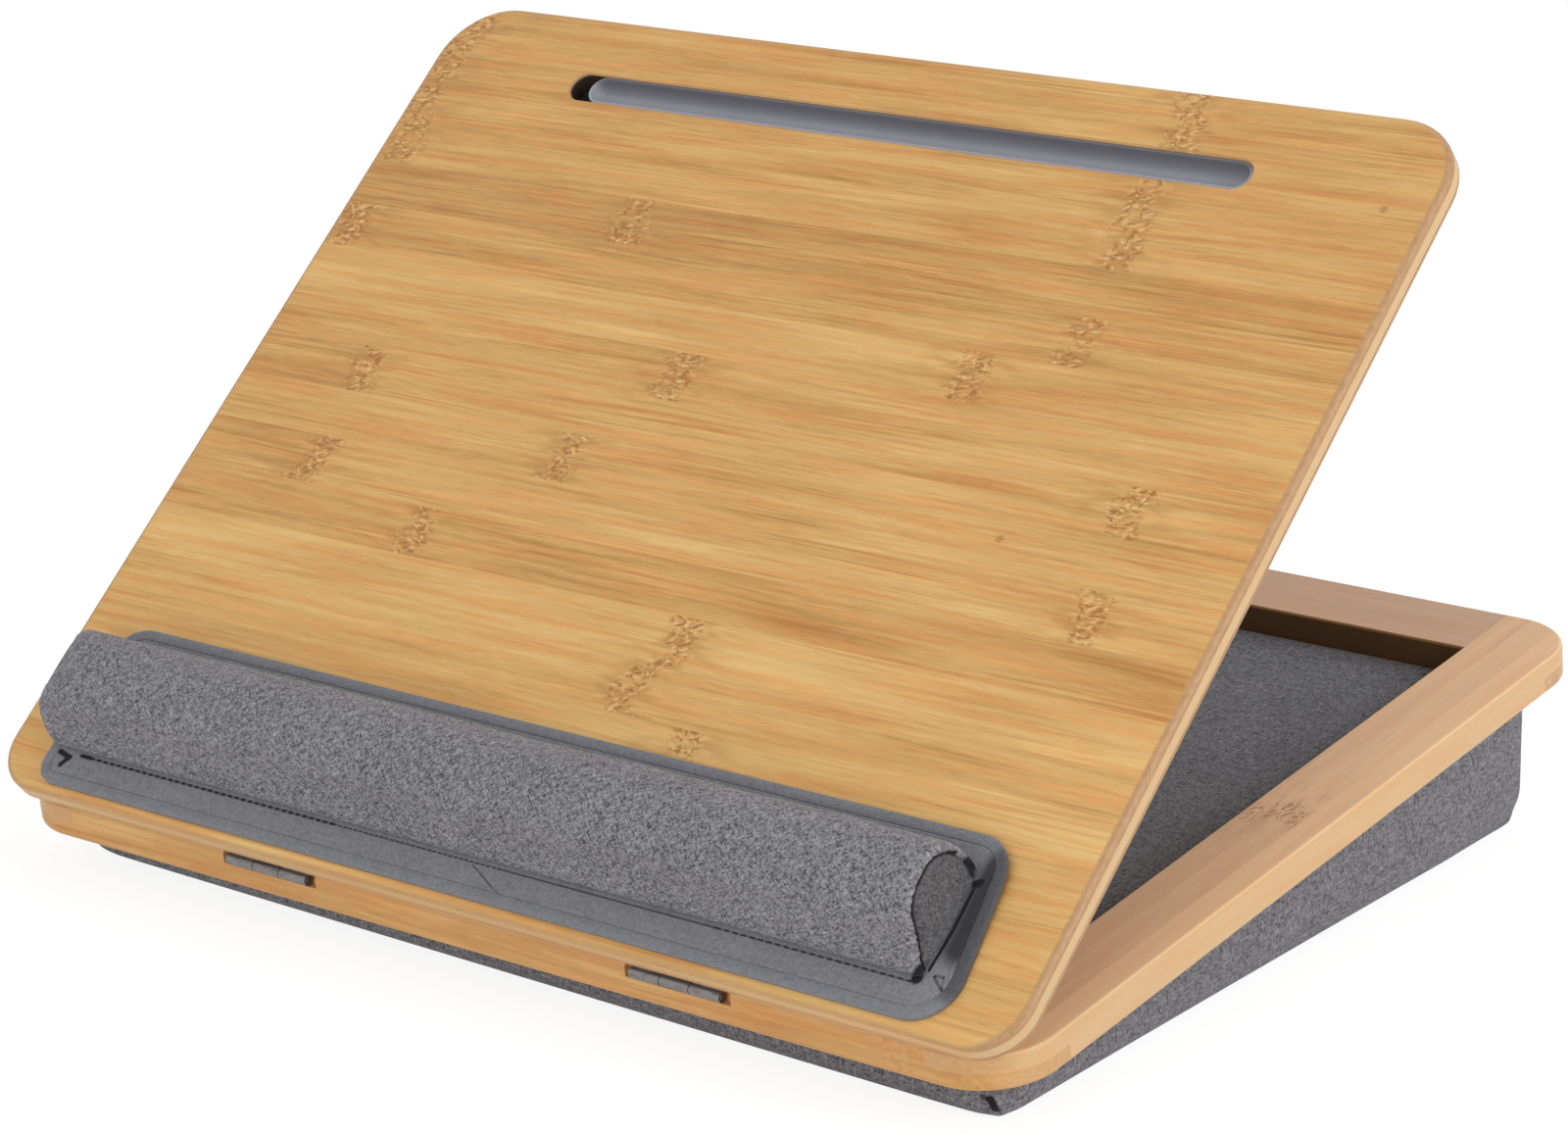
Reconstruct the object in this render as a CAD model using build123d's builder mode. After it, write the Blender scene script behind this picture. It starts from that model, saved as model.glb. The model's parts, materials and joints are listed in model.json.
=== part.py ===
from build123d import *
import os
from math import cos, radians, sin

os.makedirs("parts", exist_ok=True)

# A lap desk with a lifting lid. A wedge cushion carries a shallow bamboo tray, and the writing
# board is the tray's lid, hinged along the front edge and shown propped open. The origin is the
# middle of the cushion's resting face: +X runs to the user's right, +Y away, +Z up. All in mm.

# ---- Driving dimensions ----------------------------------------------------------------------

# Attitude
tray_slope = 6.95               # degrees the tray rises towards the back
lid_opening = 34.2              # degrees the lid is lifted from the tray
frame_front_height = 25.5       # top front edge of the tray frame above the resting face

# Tray frame: four rails, half-lapped at the corners
frame_side_setback = 3.0        # frame's side inside the shut lid's
frame_back_reach = 3.0          # frame's back edge beyond the shut lid's
frame_thickness = 12.0
frame_corner_radius = 25.0
frame_edge_round = 1.5
side_rail_width = 31.0
end_rail_width = 31.5
lap_height = 6.0                # height of the lower tongue on the front and back rails

# Tray floor
board_thickness = 3.0
board_corner_radius = 12.0
lining_thickness = 0.8
lining_clearance = 0.3

# Wedge cushion
cushion_side_inset = 10.0       # from the frame's edges to the cushion
cushion_front_inset = 12.0
cushion_back_inset = 18.0
cushion_corner_radius = 12.0
cushion_bottom_round = 5.0
cover_thickness = 1.5
board_inset = 3.5               # from the cushion's side to the board let into its top

# Lid
lid_width = 430.0
lid_depth = 351.8
lid_thickness = 8.5
lid_front_corner_radius = 18.0
lid_back_corner_radius = 26.0
lid_top_round = 3.0
lid_bottom_round = 1.0
lid_front_setback = 0.7         # lid's front edge behind the hinge axis
closed_gap = 0.4                # between the shut lid and the frame

# Device slot
slot_length = 290.0
slot_width = 12.0
slot_to_back_edge = 31.5        # slot's centre line to the lid's back edge
slot_edge_chamfer = 0.6
liner_clearance = 0.1
liner_recess = 0.8              # liner's rim below the lid's top face
liner_left_gap = 8.5            # the liner stops short of the slot's left end
liner_wall = 0.9
liner_floor = 1.2
liner_inner_round = 3.0
backing_thickness = 1.5
backing_border = 6.0            # backing beyond the slot all round
backing_clearance = 0.2

# Butt hinges
hinge_spacing = 174.0
hinge_length = 36.0
hinge_leaf_depth = 14.0         # from the axis to the leaf's edge
hinge_leaf_thickness = 0.95
pin_radius = 1.0
pin_clearance = 0.05
pin_end_round = 0.4
knuckle_gap = 0.3
notch_end_gap = 3.0             # beside each end of the barrel
notch_clearance = 0.5           # behind and below the barrel
mortise_clearance = 0.15

# Screws
hinge_screw_radius = 1.1
hinge_screw_head_radius = 1.95
hinge_screw_spacing = 22.0
hinge_screw_setback = 9.0       # from the axis
frame_screw_length = 9.0
lid_screw_length = 7.0
board_screw_radius = 1.5
board_screw_head_radius = 2.9
board_screw_length = 12.0
board_screw_inset = 5.0         # from a rail's inner edge
board_screw_spacing = 150.0
screw_clearance = 0.05

# Wrist rest
rest_left_gap = 22.0            # from the lid's left edge to the rest
rest_right_gap = 23.0
rest_front_gap = 3.3            # from the lid's front edge
rest_depth = 64.4
rest_corner_radius = 14.0
rest_base_thickness = 2.2
binding_width = 4.0
binding_height = 2.8
binding_round = 1.0
bolster_left_gap = 4.5          # from the rest's left edge
bolster_right_gap = 14.5
bolster_front_gap = 13.5        # from the rest's front edge
bolster_front_radius = 24.5     # also the bolster's height
bolster_back_reach = 16.5       # from the crown to the fullest point at the back
bolster_back_height = 9.5       # that point above the base
bolster_undercut = 1.5
bolster_corner_round = 2.5
bolster_cover_thickness = 1.2
cap_thickness = 1.6
cap_round = 0.9

# ---- Worked-out values and planes ------------------------------------------------------------

frame_width = lid_width - 2 * frame_side_setback
frame_depth = lid_depth + lid_front_setback + frame_back_reach
cushion_width = frame_width - 2 * cushion_side_inset
cushion_depth = frame_depth - cushion_front_inset - cushion_back_inset
barrel_radius = pin_radius + pin_clearance + hinge_leaf_thickness
slope = radians(tray_slope)
lid_angle = radians(tray_slope + lid_opening)

frame_back_way = Vector(0, cos(slope), sin(slope))
frame_normal = Vector(0, -sin(slope), cos(slope))
lid_back_way = Vector(0, cos(lid_angle), sin(lid_angle))
lid_normal = Vector(0, -sin(lid_angle), cos(lid_angle))
across = Vector(1, 0, 0)

frame_origin = Vector(0, -cushion_depth / 2 - cushion_front_inset, frame_front_height)
frame_top = Plane(origin=frame_origin, x_dir=across, z_dir=frame_normal)
frame_bottom = frame_top.offset(-frame_thickness)
frame_end_view = Plane(origin=frame_origin, x_dir=frame_back_way, z_dir=across)
frame_front_view = Plane(origin=frame_origin, x_dir=across, z_dir=-frame_back_way)
frame_up = Axis(frame_origin, frame_normal)

# The hinge axis lies in the plane of the frame's front face, one barrel radius below its top.
hinge_origin = frame_origin - frame_normal * barrel_radius
hinge_frame_view = Plane(origin=hinge_origin, x_dir=frame_back_way, z_dir=across)
hinge_lid_view = Plane(origin=hinge_origin, x_dir=lid_back_way, z_dir=across)
hinge_lid_plane = Plane(origin=hinge_origin, x_dir=across, z_dir=lid_normal)
lid_under_height = barrel_radius + closed_gap
lid_under = hinge_lid_plane.offset(lid_under_height)
lid_top = lid_under.offset(lid_thickness)
lid_up = Axis(hinge_origin, lid_normal)

opening_width = frame_width - 2 * side_rail_width
opening_depth = frame_depth - 2 * end_rail_width
lid_middle = lid_front_setback + lid_depth / 2
slot_middle = lid_front_setback + lid_depth - slot_to_back_edge
rest_width = lid_width - rest_left_gap - rest_right_gap
rest_offset = (rest_left_gap - rest_right_gap) / 2
rest_front = lid_front_setback + rest_front_gap
rest_middle = rest_front + rest_depth / 2
bolster_left = rest_left_gap - lid_width / 2 + bolster_left_gap
bolster_right = lid_width / 2 - rest_right_gap - bolster_right_gap
bolster_front = rest_front + bolster_front_gap
bolster_crown = bolster_front + bolster_front_radius
board_width = cushion_width - 2 * board_inset
board_depth = cushion_depth - 2 * board_inset
board_middle = cushion_front_inset + cushion_depth / 2
hinge_centres = ((-hinge_spacing / 2, "left"), (hinge_spacing / 2, "right"))
knuckle_length = hinge_length / 3
notch_length = hinge_length + 2 * notch_end_gap
notch_reach = barrel_radius + notch_clearance


def hinge_screw_spots():
    """Places of the four screws of each leaf pair on a leaf's plane, X then distance back."""
    spots = []
    for centre, _ in hinge_centres:
        for side in (-1, 1):
            spots.append((centre + side * hinge_screw_spacing / 2, hinge_screw_setback))
    return spots


def board_screw_spots():
    """Places of the tray floor's screws on the frame's plane, X then distance back."""
    front_row = end_rail_width - board_screw_inset
    side_row = frame_width / 2 - side_rail_width + board_screw_inset
    spots = []
    for x in (-board_screw_spacing, 0, board_screw_spacing):
        spots.append((x, front_row))
        spots.append((x, frame_depth - front_row))
    for x in (-side_row, side_row):
        for y in (-board_screw_spacing / 2, board_screw_spacing / 2):
            spots.append((x, frame_depth / 2 + y))
    return spots


def screw_group(plane, spots, radius, head_radius, length):
    """Countersunk screws with their heads flush in a plane, driven against its normal."""
    head_height = head_radius - radius
    with BuildPart() as screw:
        with BuildSketch(Plane.XZ):
            with BuildLine():
                Polyline(
                    (0, 0),
                    (head_radius, 0),
                    (radius, -head_height),
                    (radius, -length + radius),
                    (0, -length),
                    close=True,
                )
            make_face()
        revolve(axis=Axis.Z)
    with BuildPart() as group:
        with Locations(plane):
            with Locations([(x, y, 0) for x, y in spots]):
                add(screw.part)
    return group.part


def save(part, name):
    """Label a finished piece and write its STEP file."""
    part.label = name
    export_step(part, f"parts/{name}.step")


# ---- Tray frame ------------------------------------------------------------------------------

# The whole ring, with its rounded outer edges, from which the lapped rails are taken.
with BuildPart() as frame_ring:
    with BuildSketch(frame_top):
        with Locations((0, frame_depth / 2)):
            RectangleRounded(frame_width, frame_depth, frame_corner_radius)
    extrude(amount=-frame_thickness)
    fillet(frame_ring.faces().sort_by(frame_up)[-1].edges(), frame_edge_round)
    fillet(frame_ring.faces().sort_by(frame_up)[0].edges(), frame_edge_round)
    with BuildSketch(frame_top):
        with Locations((0, frame_depth / 2)):
            Rectangle(opening_width, opening_depth)
    extrude(amount=-frame_thickness, mode=Mode.SUBTRACT)
    # Pilot holes for the screws that come up through the tray floor.
    with BuildSketch(frame_bottom):
        with Locations(board_screw_spots()):
            Circle(board_screw_radius + screw_clearance)
    extrude(amount=board_screw_length - board_thickness + screw_clearance, mode=Mode.SUBTRACT)

# Side rails: full depth on top, cut away below where they lie over the front and back rails.
for side, name in ((-1, "rail_left"), (1, "rail_right")):
    with BuildPart() as side_rail:
        add(frame_ring.part)
        with BuildSketch(frame_end_view.offset(side * (frame_width - side_rail_width) / 2)):
            with BuildLine():
                Polyline(
                    (0, 0),
                    (frame_depth, 0),
                    (frame_depth, lap_height - frame_thickness),
                    (frame_depth - end_rail_width, lap_height - frame_thickness),
                    (frame_depth - end_rail_width, -frame_thickness),
                    (end_rail_width, -frame_thickness),
                    (end_rail_width, lap_height - frame_thickness),
                    (0, lap_height - frame_thickness),
                    close=True,
                )
            make_face()
        extrude(amount=side_rail_width / 2, both=True, mode=Mode.INTERSECT)
    save(side_rail.part, name)


def lapped_end_profile():
    """Front view of a front or back rail: full width below, between the side rails on top."""
    with BuildSketch() as profile:
        with BuildLine():
            Polyline(
                (-frame_width / 2, -frame_thickness),
                (frame_width / 2, -frame_thickness),
                (frame_width / 2, lap_height - frame_thickness),
                (opening_width / 2, lap_height - frame_thickness),
                (opening_width / 2, 0),
                (-opening_width / 2, 0),
                (-opening_width / 2, lap_height - frame_thickness),
                (-frame_width / 2, lap_height - frame_thickness),
                close=True,
            )
        make_face()
    return profile.sketch


with BuildPart() as rail_back:
    add(frame_ring.part)
    with BuildSketch(frame_front_view.offset(-frame_depth)):
        add(lapped_end_profile())
    extrude(amount=end_rail_width, mode=Mode.INTERSECT)
save(rail_back.part, "rail_back")

with BuildPart() as rail_front:
    add(frame_ring.part)
    with BuildSketch(frame_front_view):
        add(lapped_end_profile())
    extrude(amount=-end_rail_width, mode=Mode.INTERSECT)
    for centre, _ in hinge_centres:
        # Notch for the barrel in the top front corner, open to the front.
        with BuildSketch(hinge_frame_view.offset(centre)):
            with Locations((0, (barrel_radius - notch_reach) / 2)):
                Rectangle(2 * notch_reach, barrel_radius + notch_reach)
        extrude(amount=notch_length / 2, both=True, mode=Mode.SUBTRACT)
        # Mortise that sets the frame leaf flush with the top face.
        with BuildSketch(frame_top):
            with Locations((centre, hinge_leaf_depth / 2)):
                Rectangle(hinge_length + 2 * mortise_clearance, hinge_leaf_depth + 2 * mortise_clearance)
        extrude(amount=-hinge_leaf_thickness, mode=Mode.SUBTRACT)
    with BuildSketch(frame_top):
        with Locations(hinge_screw_spots()):
            Circle(hinge_screw_radius + screw_clearance)
    extrude(amount=-frame_screw_length - screw_clearance, mode=Mode.SUBTRACT)
save(rail_front.part, "rail_front")

# ---- Tray floor ------------------------------------------------------------------------------

with BuildPart() as tray_board:
    with BuildSketch(frame_bottom):
        with Locations((0, board_middle)):
            RectangleRounded(board_width, board_depth, board_corner_radius)
    extrude(amount=-board_thickness)
    with Locations(frame_bottom.offset(-board_thickness).rotated((180, 0, 0))):
        with Locations([(x, -y) for x, y in board_screw_spots()]):
            CounterSinkHole(
                board_screw_radius + screw_clearance,
                board_screw_head_radius + screw_clearance,
                board_thickness,
                90,
            )
save(tray_board.part, "tray_board")

board_screws = screw_group(
    frame_bottom.offset(-board_thickness).rotated((180, 0, 0)),
    [(x, -y) for x, y in board_screw_spots()],
    board_screw_radius,
    board_screw_head_radius,
    board_screw_length,
)
save(board_screws, "tray_board_screws")

with BuildPart() as tray_lining:
    with BuildSketch(frame_bottom):
        with Locations((0, frame_depth / 2)):
            Rectangle(opening_width - 2 * lining_clearance, opening_depth - 2 * lining_clearance)
    extrude(amount=lining_thickness)
save(tray_lining.part, "tray_lining")

# ---- Wedge cushion ---------------------------------------------------------------------------


def wedge(inset, lid_plane):
    """Closed wedge between the floor and a sloping plane, inset on every side and below."""
    with BuildPart() as body:
        with BuildSketch(Plane.XY.offset(inset)):
            RectangleRounded(
                cushion_width - 2 * inset,
                cushion_depth - 2 * inset,
                cushion_corner_radius - inset,
            )
        extrude(amount=frame_depth)
        fillet(body.faces().sort_by(Axis.Z)[0].edges(), cushion_bottom_round - inset)
        split(bisect_by=lid_plane, keep=Keep.BOTTOM)
    return body.part


with BuildPart() as cushion_foam:
    add(wedge(cover_thickness, frame_bottom.offset(-board_thickness)))
save(cushion_foam.part, "cushion_foam")

with BuildPart() as cushion_cover:
    add(wedge(0, frame_bottom))
    add(cushion_foam.part, mode=Mode.SUBTRACT)
    with BuildSketch(frame_bottom):
        with Locations((0, board_middle)):
            RectangleRounded(board_width, board_depth, board_corner_radius)
    extrude(amount=-board_thickness, mode=Mode.SUBTRACT)
save(cushion_cover.part, "cushion_cover")

# ---- Hinges ----------------------------------------------------------------------------------

for centre, name in hinge_centres:
    # Frame leaf: lies on the rail and rolls down over the axis into the two outer knuckles.
    with BuildPart() as frame_leaf:
        with BuildSketch(hinge_frame_view.offset(centre)):
            Circle(barrel_radius)
            with Locations((0, barrel_radius)):
                Rectangle(hinge_leaf_depth, hinge_leaf_thickness, align=(Align.MIN, Align.MAX))
        extrude(amount=hinge_length / 2, both=True)
        with BuildSketch(hinge_frame_view.offset(centre)):
            Circle(pin_radius + pin_clearance)
        extrude(amount=hinge_length / 2, both=True, mode=Mode.SUBTRACT)
        with BuildSketch(hinge_frame_view.offset(centre)):
            Rectangle(2 * notch_reach, 2 * notch_reach)
        extrude(amount=knuckle_length / 2, both=True, mode=Mode.SUBTRACT)
        with Locations(frame_top):
            with Locations([spot for spot in hinge_screw_spots() if abs(spot[0] - centre) < hinge_length]):
                CounterSinkHole(
                    hinge_screw_radius + screw_clearance,
                    hinge_screw_head_radius + screw_clearance,
                    hinge_leaf_thickness,
                    90,
                )
    save(frame_leaf.part, f"hinge_leaf_frame_{name}")

    # Lid leaf: flush with the lid's underside, bent down behind the barrel to the middle knuckle.
    with BuildPart() as lid_leaf:
        with BuildSketch(hinge_lid_view.offset(centre)):
            with Locations((barrel_radius - hinge_leaf_thickness, lid_under_height)):
                Rectangle(
                    hinge_leaf_depth - barrel_radius + hinge_leaf_thickness,
                    hinge_leaf_thickness,
                    align=(Align.MIN, Align.MIN),
                )
        extrude(amount=hinge_length / 2, both=True)
        with BuildSketch(hinge_lid_view.offset(centre)):
            Circle(barrel_radius)
            with Locations((barrel_radius, 0)):
                Rectangle(
                    hinge_leaf_thickness,
                    lid_under_height + hinge_leaf_thickness,
                    align=(Align.MAX, Align.MIN),
                )
            Circle(pin_radius + pin_clearance, mode=Mode.SUBTRACT)
        extrude(amount=knuckle_length / 2 - knuckle_gap, both=True)
        with Locations(lid_under.rotated((180, 0, 0))):
            with Locations([(x, -y) for x, y in hinge_screw_spots() if abs(x - centre) < hinge_length]):
                CounterSinkHole(
                    hinge_screw_radius + screw_clearance,
                    hinge_screw_head_radius + screw_clearance,
                    hinge_leaf_thickness,
                    90,
                )
    save(lid_leaf.part, f"hinge_leaf_lid_{name}")

    with BuildPart() as hinge_pin:
        with BuildSketch(hinge_frame_view.offset(centre)):
            Circle(pin_radius)
        extrude(amount=hinge_length / 2, both=True)
        fillet(hinge_pin.edges().filter_by(GeomType.CIRCLE), pin_end_round)
    save(hinge_pin.part, f"hinge_pin_{name}")

frame_screws = screw_group(
    frame_top, hinge_screw_spots(), hinge_screw_radius, hinge_screw_head_radius, frame_screw_length
)
save(frame_screws, "hinge_frame_screws")

lid_screws = screw_group(
    lid_under.rotated((180, 0, 0)),
    [(x, -y) for x, y in hinge_screw_spots()],
    hinge_screw_radius,
    hinge_screw_head_radius,
    lid_screw_length,
)
save(lid_screws, "hinge_lid_screws")

# ---- Lid -------------------------------------------------------------------------------------

with BuildPart() as lid_panel:
    with BuildSketch(lid_under) as lid_outline:
        with Locations((0, lid_middle)):
            Rectangle(lid_width, lid_depth)
        fillet(lid_outline.vertices().group_by(Axis.Y)[0], lid_front_corner_radius)
        fillet(lid_outline.vertices().group_by(Axis.Y)[-1], lid_back_corner_radius)
    extrude(amount=lid_thickness)
    fillet(lid_panel.faces().sort_by(lid_up)[-1].edges(), lid_top_round)
    fillet(lid_panel.faces().sort_by(lid_up)[0].edges(), lid_bottom_round)
    # Device slot, cut right through, with a shallow recess below for its backing.
    with BuildSketch(lid_under):
        with Locations((0, slot_middle)):
            SlotOverall(slot_length, slot_width)
    extrude(amount=lid_thickness, mode=Mode.SUBTRACT)
    slot_rim = lid_panel.faces().sort_by(lid_up)[-1].inner_wires()[0]
    chamfer(slot_rim.edges(), slot_edge_chamfer)
    with BuildSketch(lid_under):
        with Locations((0, slot_middle)):
            SlotOverall(slot_length + 2 * backing_border, slot_width + 2 * backing_border)
    extrude(amount=backing_thickness, mode=Mode.SUBTRACT)
    # Mortises for the lid leaves, open at the lid's front edge, and their pilot holes.
    with BuildSketch(lid_under):
        for centre, _ in hinge_centres:
            with Locations((centre, 0)):
                Rectangle(
                    hinge_length + 2 * mortise_clearance,
                    hinge_leaf_depth + mortise_clearance,
                    align=(Align.CENTER, Align.MIN),
                )
    extrude(amount=hinge_leaf_thickness, mode=Mode.SUBTRACT)
    with BuildSketch(lid_under):
        with Locations(hinge_screw_spots()):
            Circle(hinge_screw_radius + screw_clearance)
    extrude(amount=lid_screw_length + screw_clearance, mode=Mode.SUBTRACT)
save(lid_panel.part, "lid_panel")

with BuildPart() as slot_backing:
    with BuildSketch(lid_under):
        with Locations((0, slot_middle)):
            SlotOverall(
                slot_length + 2 * (backing_border - backing_clearance),
                slot_width + 2 * (backing_border - backing_clearance),
            )
    extrude(amount=backing_thickness)
save(slot_backing.part, "slot_backing")

liner_width = slot_width - 2 * liner_clearance
liner_length = slot_length - liner_left_gap - liner_clearance
liner_centre = (liner_left_gap - liner_clearance) / 2
liner_height = lid_thickness - backing_thickness - liner_recess
with BuildPart() as liner_hollow:
    with BuildSketch(lid_under.offset(backing_thickness + liner_floor)):
        with Locations((liner_centre, slot_middle)):
            SlotOverall(liner_length - 2 * liner_wall, liner_width - 2 * liner_wall)
    extrude(amount=liner_height)
    fillet(liner_hollow.faces().sort_by(lid_up)[0].edges(), liner_inner_round)

with BuildPart() as slot_liner:
    with BuildSketch(lid_under.offset(backing_thickness)):
        with Locations((liner_centre, slot_middle)):
            SlotOverall(liner_length, liner_width)
    extrude(amount=liner_height)
    add(liner_hollow.part, mode=Mode.SUBTRACT)
save(slot_liner.part, "slot_liner")

# ---- Wrist rest ------------------------------------------------------------------------------

with BuildPart() as wrist_rest_base:
    with BuildSketch(lid_top):
        with Locations((rest_offset, rest_middle)):
            RectangleRounded(
                rest_width - 2 * binding_width,
                rest_depth - 2 * binding_width,
                rest_corner_radius - binding_width,
            )
    extrude(amount=rest_base_thickness)
save(wrist_rest_base.part, "wrist_rest_base")

with BuildPart() as wrist_rest_binding:
    with BuildSketch(lid_top):
        with Locations((rest_offset, rest_middle)):
            RectangleRounded(rest_width, rest_depth, rest_corner_radius)
    extrude(amount=binding_height)
    with BuildSketch(lid_top):
        with Locations((rest_offset, rest_middle)):
            RectangleRounded(
                rest_width - 2 * binding_width,
                rest_depth - 2 * binding_width,
                rest_corner_radius - binding_width,
            )
    extrude(amount=binding_height, mode=Mode.SUBTRACT)
    fillet(wrist_rest_binding.faces().sort_by(lid_up)[-1].edges(), binding_round)
save(wrist_rest_binding.part, "wrist_rest_binding")

bolster_base = lid_under_height + lid_thickness + rest_base_thickness
bolster_end_view = hinge_lid_view.offset(bolster_left)
bolster_length = bolster_right - bolster_left


def bolster_profile():
    """D-shaped end view of the bolster: full front curve, crown, steep back and a flat base."""
    crown = (bolster_crown, bolster_base + bolster_front_radius)
    back = (bolster_crown + bolster_back_reach, bolster_base + bolster_back_height)
    with BuildSketch() as profile:
        with BuildLine():
            front_curve = RadiusArc((bolster_front, bolster_base), crown, bolster_front_radius)
            back_curve = TangentArc(crown, back, tangent=front_curve % 1)
            Polyline(
                back_curve @ 1,
                (bolster_crown + bolster_back_reach - bolster_undercut, bolster_base),
                front_curve @ 0,
            )
        make_face()
        fillet(profile.vertices().group_by(Axis.Y)[0], bolster_corner_round)
    return profile.sketch


with BuildPart() as wrist_rest_foam:
    with BuildSketch(bolster_end_view.offset(cap_thickness)):
        add(bolster_profile())
        offset(amount=-bolster_cover_thickness, kind=Kind.INTERSECTION, mode=Mode.REPLACE)
    extrude(amount=bolster_length - 2 * cap_thickness)
save(wrist_rest_foam.part, "wrist_rest_foam")

with BuildPart() as wrist_rest_cover:
    with BuildSketch(bolster_end_view.offset(cap_thickness)):
        add(bolster_profile())
    extrude(amount=bolster_length - 2 * cap_thickness)
    add(wrist_rest_foam.part, mode=Mode.SUBTRACT)
save(wrist_rest_cover.part, "wrist_rest_cover")

for start, outer_face, name in ((0, 0, "left"), (bolster_length - cap_thickness, -1, "right")):
    with BuildPart() as rest_cap:
        with BuildSketch(bolster_end_view.offset(start)):
            add(bolster_profile())
        extrude(amount=cap_thickness)
        fillet(rest_cap.faces().sort_by(Axis.X)[outer_face].edges(), cap_round)
    save(rest_cap.part, f"wrist_rest_cap_{name}")
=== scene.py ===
"""Dresses a packed lap desk with bamboo, fabric and steel, and sets it in a plain studio.

The desk is a shallow bamboo tray on a wedge cushion. Its lid is the writing board, hinged along
the front edge, with a device slot near the top and a stuffed wrist rest along the bottom. Rigid
parts stay as they were packed and get their finishes here. Soft parts are modelled here.
"""

from __future__ import annotations

import json
import logging
import math
from contextlib import contextmanager
from dataclasses import dataclass
from enum import Enum
from typing import Callable, Iterator, Sequence, Union

import bmesh
import bpy
from mathutils import Matrix, Vector, noise

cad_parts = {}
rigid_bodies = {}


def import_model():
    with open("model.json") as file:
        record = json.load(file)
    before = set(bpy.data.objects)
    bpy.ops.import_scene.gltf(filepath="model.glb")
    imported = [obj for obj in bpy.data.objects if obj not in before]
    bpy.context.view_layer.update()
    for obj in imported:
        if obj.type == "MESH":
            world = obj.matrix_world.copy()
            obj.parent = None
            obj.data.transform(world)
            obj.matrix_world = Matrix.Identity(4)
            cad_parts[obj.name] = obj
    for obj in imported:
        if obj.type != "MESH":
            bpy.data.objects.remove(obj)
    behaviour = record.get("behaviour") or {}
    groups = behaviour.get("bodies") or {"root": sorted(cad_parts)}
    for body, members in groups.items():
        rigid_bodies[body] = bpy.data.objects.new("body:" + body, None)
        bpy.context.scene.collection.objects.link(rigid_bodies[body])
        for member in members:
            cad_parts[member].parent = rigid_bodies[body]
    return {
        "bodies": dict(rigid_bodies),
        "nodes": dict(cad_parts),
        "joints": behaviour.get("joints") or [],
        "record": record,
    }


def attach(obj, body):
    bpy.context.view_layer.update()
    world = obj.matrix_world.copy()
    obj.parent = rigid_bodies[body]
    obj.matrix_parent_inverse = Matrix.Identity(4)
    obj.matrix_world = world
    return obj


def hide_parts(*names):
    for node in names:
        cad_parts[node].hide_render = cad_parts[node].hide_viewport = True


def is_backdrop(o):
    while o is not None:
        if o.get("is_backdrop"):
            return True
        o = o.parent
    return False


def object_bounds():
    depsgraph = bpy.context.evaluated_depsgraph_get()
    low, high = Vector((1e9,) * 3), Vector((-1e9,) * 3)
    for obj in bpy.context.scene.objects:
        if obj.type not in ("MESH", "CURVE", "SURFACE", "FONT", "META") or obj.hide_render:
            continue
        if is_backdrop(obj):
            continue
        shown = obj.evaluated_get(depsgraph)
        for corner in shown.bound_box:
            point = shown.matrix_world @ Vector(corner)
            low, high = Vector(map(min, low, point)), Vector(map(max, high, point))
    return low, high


LOG = logging.getLogger("lap_desk")
MM = 0.001
# How near two places in millimetres are taken as one.
TOUCH = 0.01

Rgb = tuple[float, float, float]
Rule = Callable[[Vector], Vector]


# ---- Sizes and working planes ----------------------------------------------------------------


@dataclass(frozen=True)
class WorkPlane:
    """A plane on the desk: X across, Y up the slope, Z out of its face.

    Attributes:
        origin: Where its zero lies, in metres.
        tilt: Its slope about X, in radians.
    """

    origin: Vector
    tilt: float

    def matrix(self) -> Matrix:
        """The transform from the plane's own places to the desk's."""
        return Matrix.Translation(self.origin) @ Matrix.Rotation(self.tilt, 4, "X")

    def raised(self, height: float) -> "WorkPlane":
        """A parallel plane, higher by a height in millimetres."""
        return WorkPlane(self.origin + self.normal() * height * MM, self.tilt)

    def normal(self) -> Vector:
        """The way it faces."""
        return Vector((0, -math.sin(self.tilt), math.cos(self.tilt)))


GROUND = WorkPlane(Vector((0, 0, 0)), 0.0)


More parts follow.
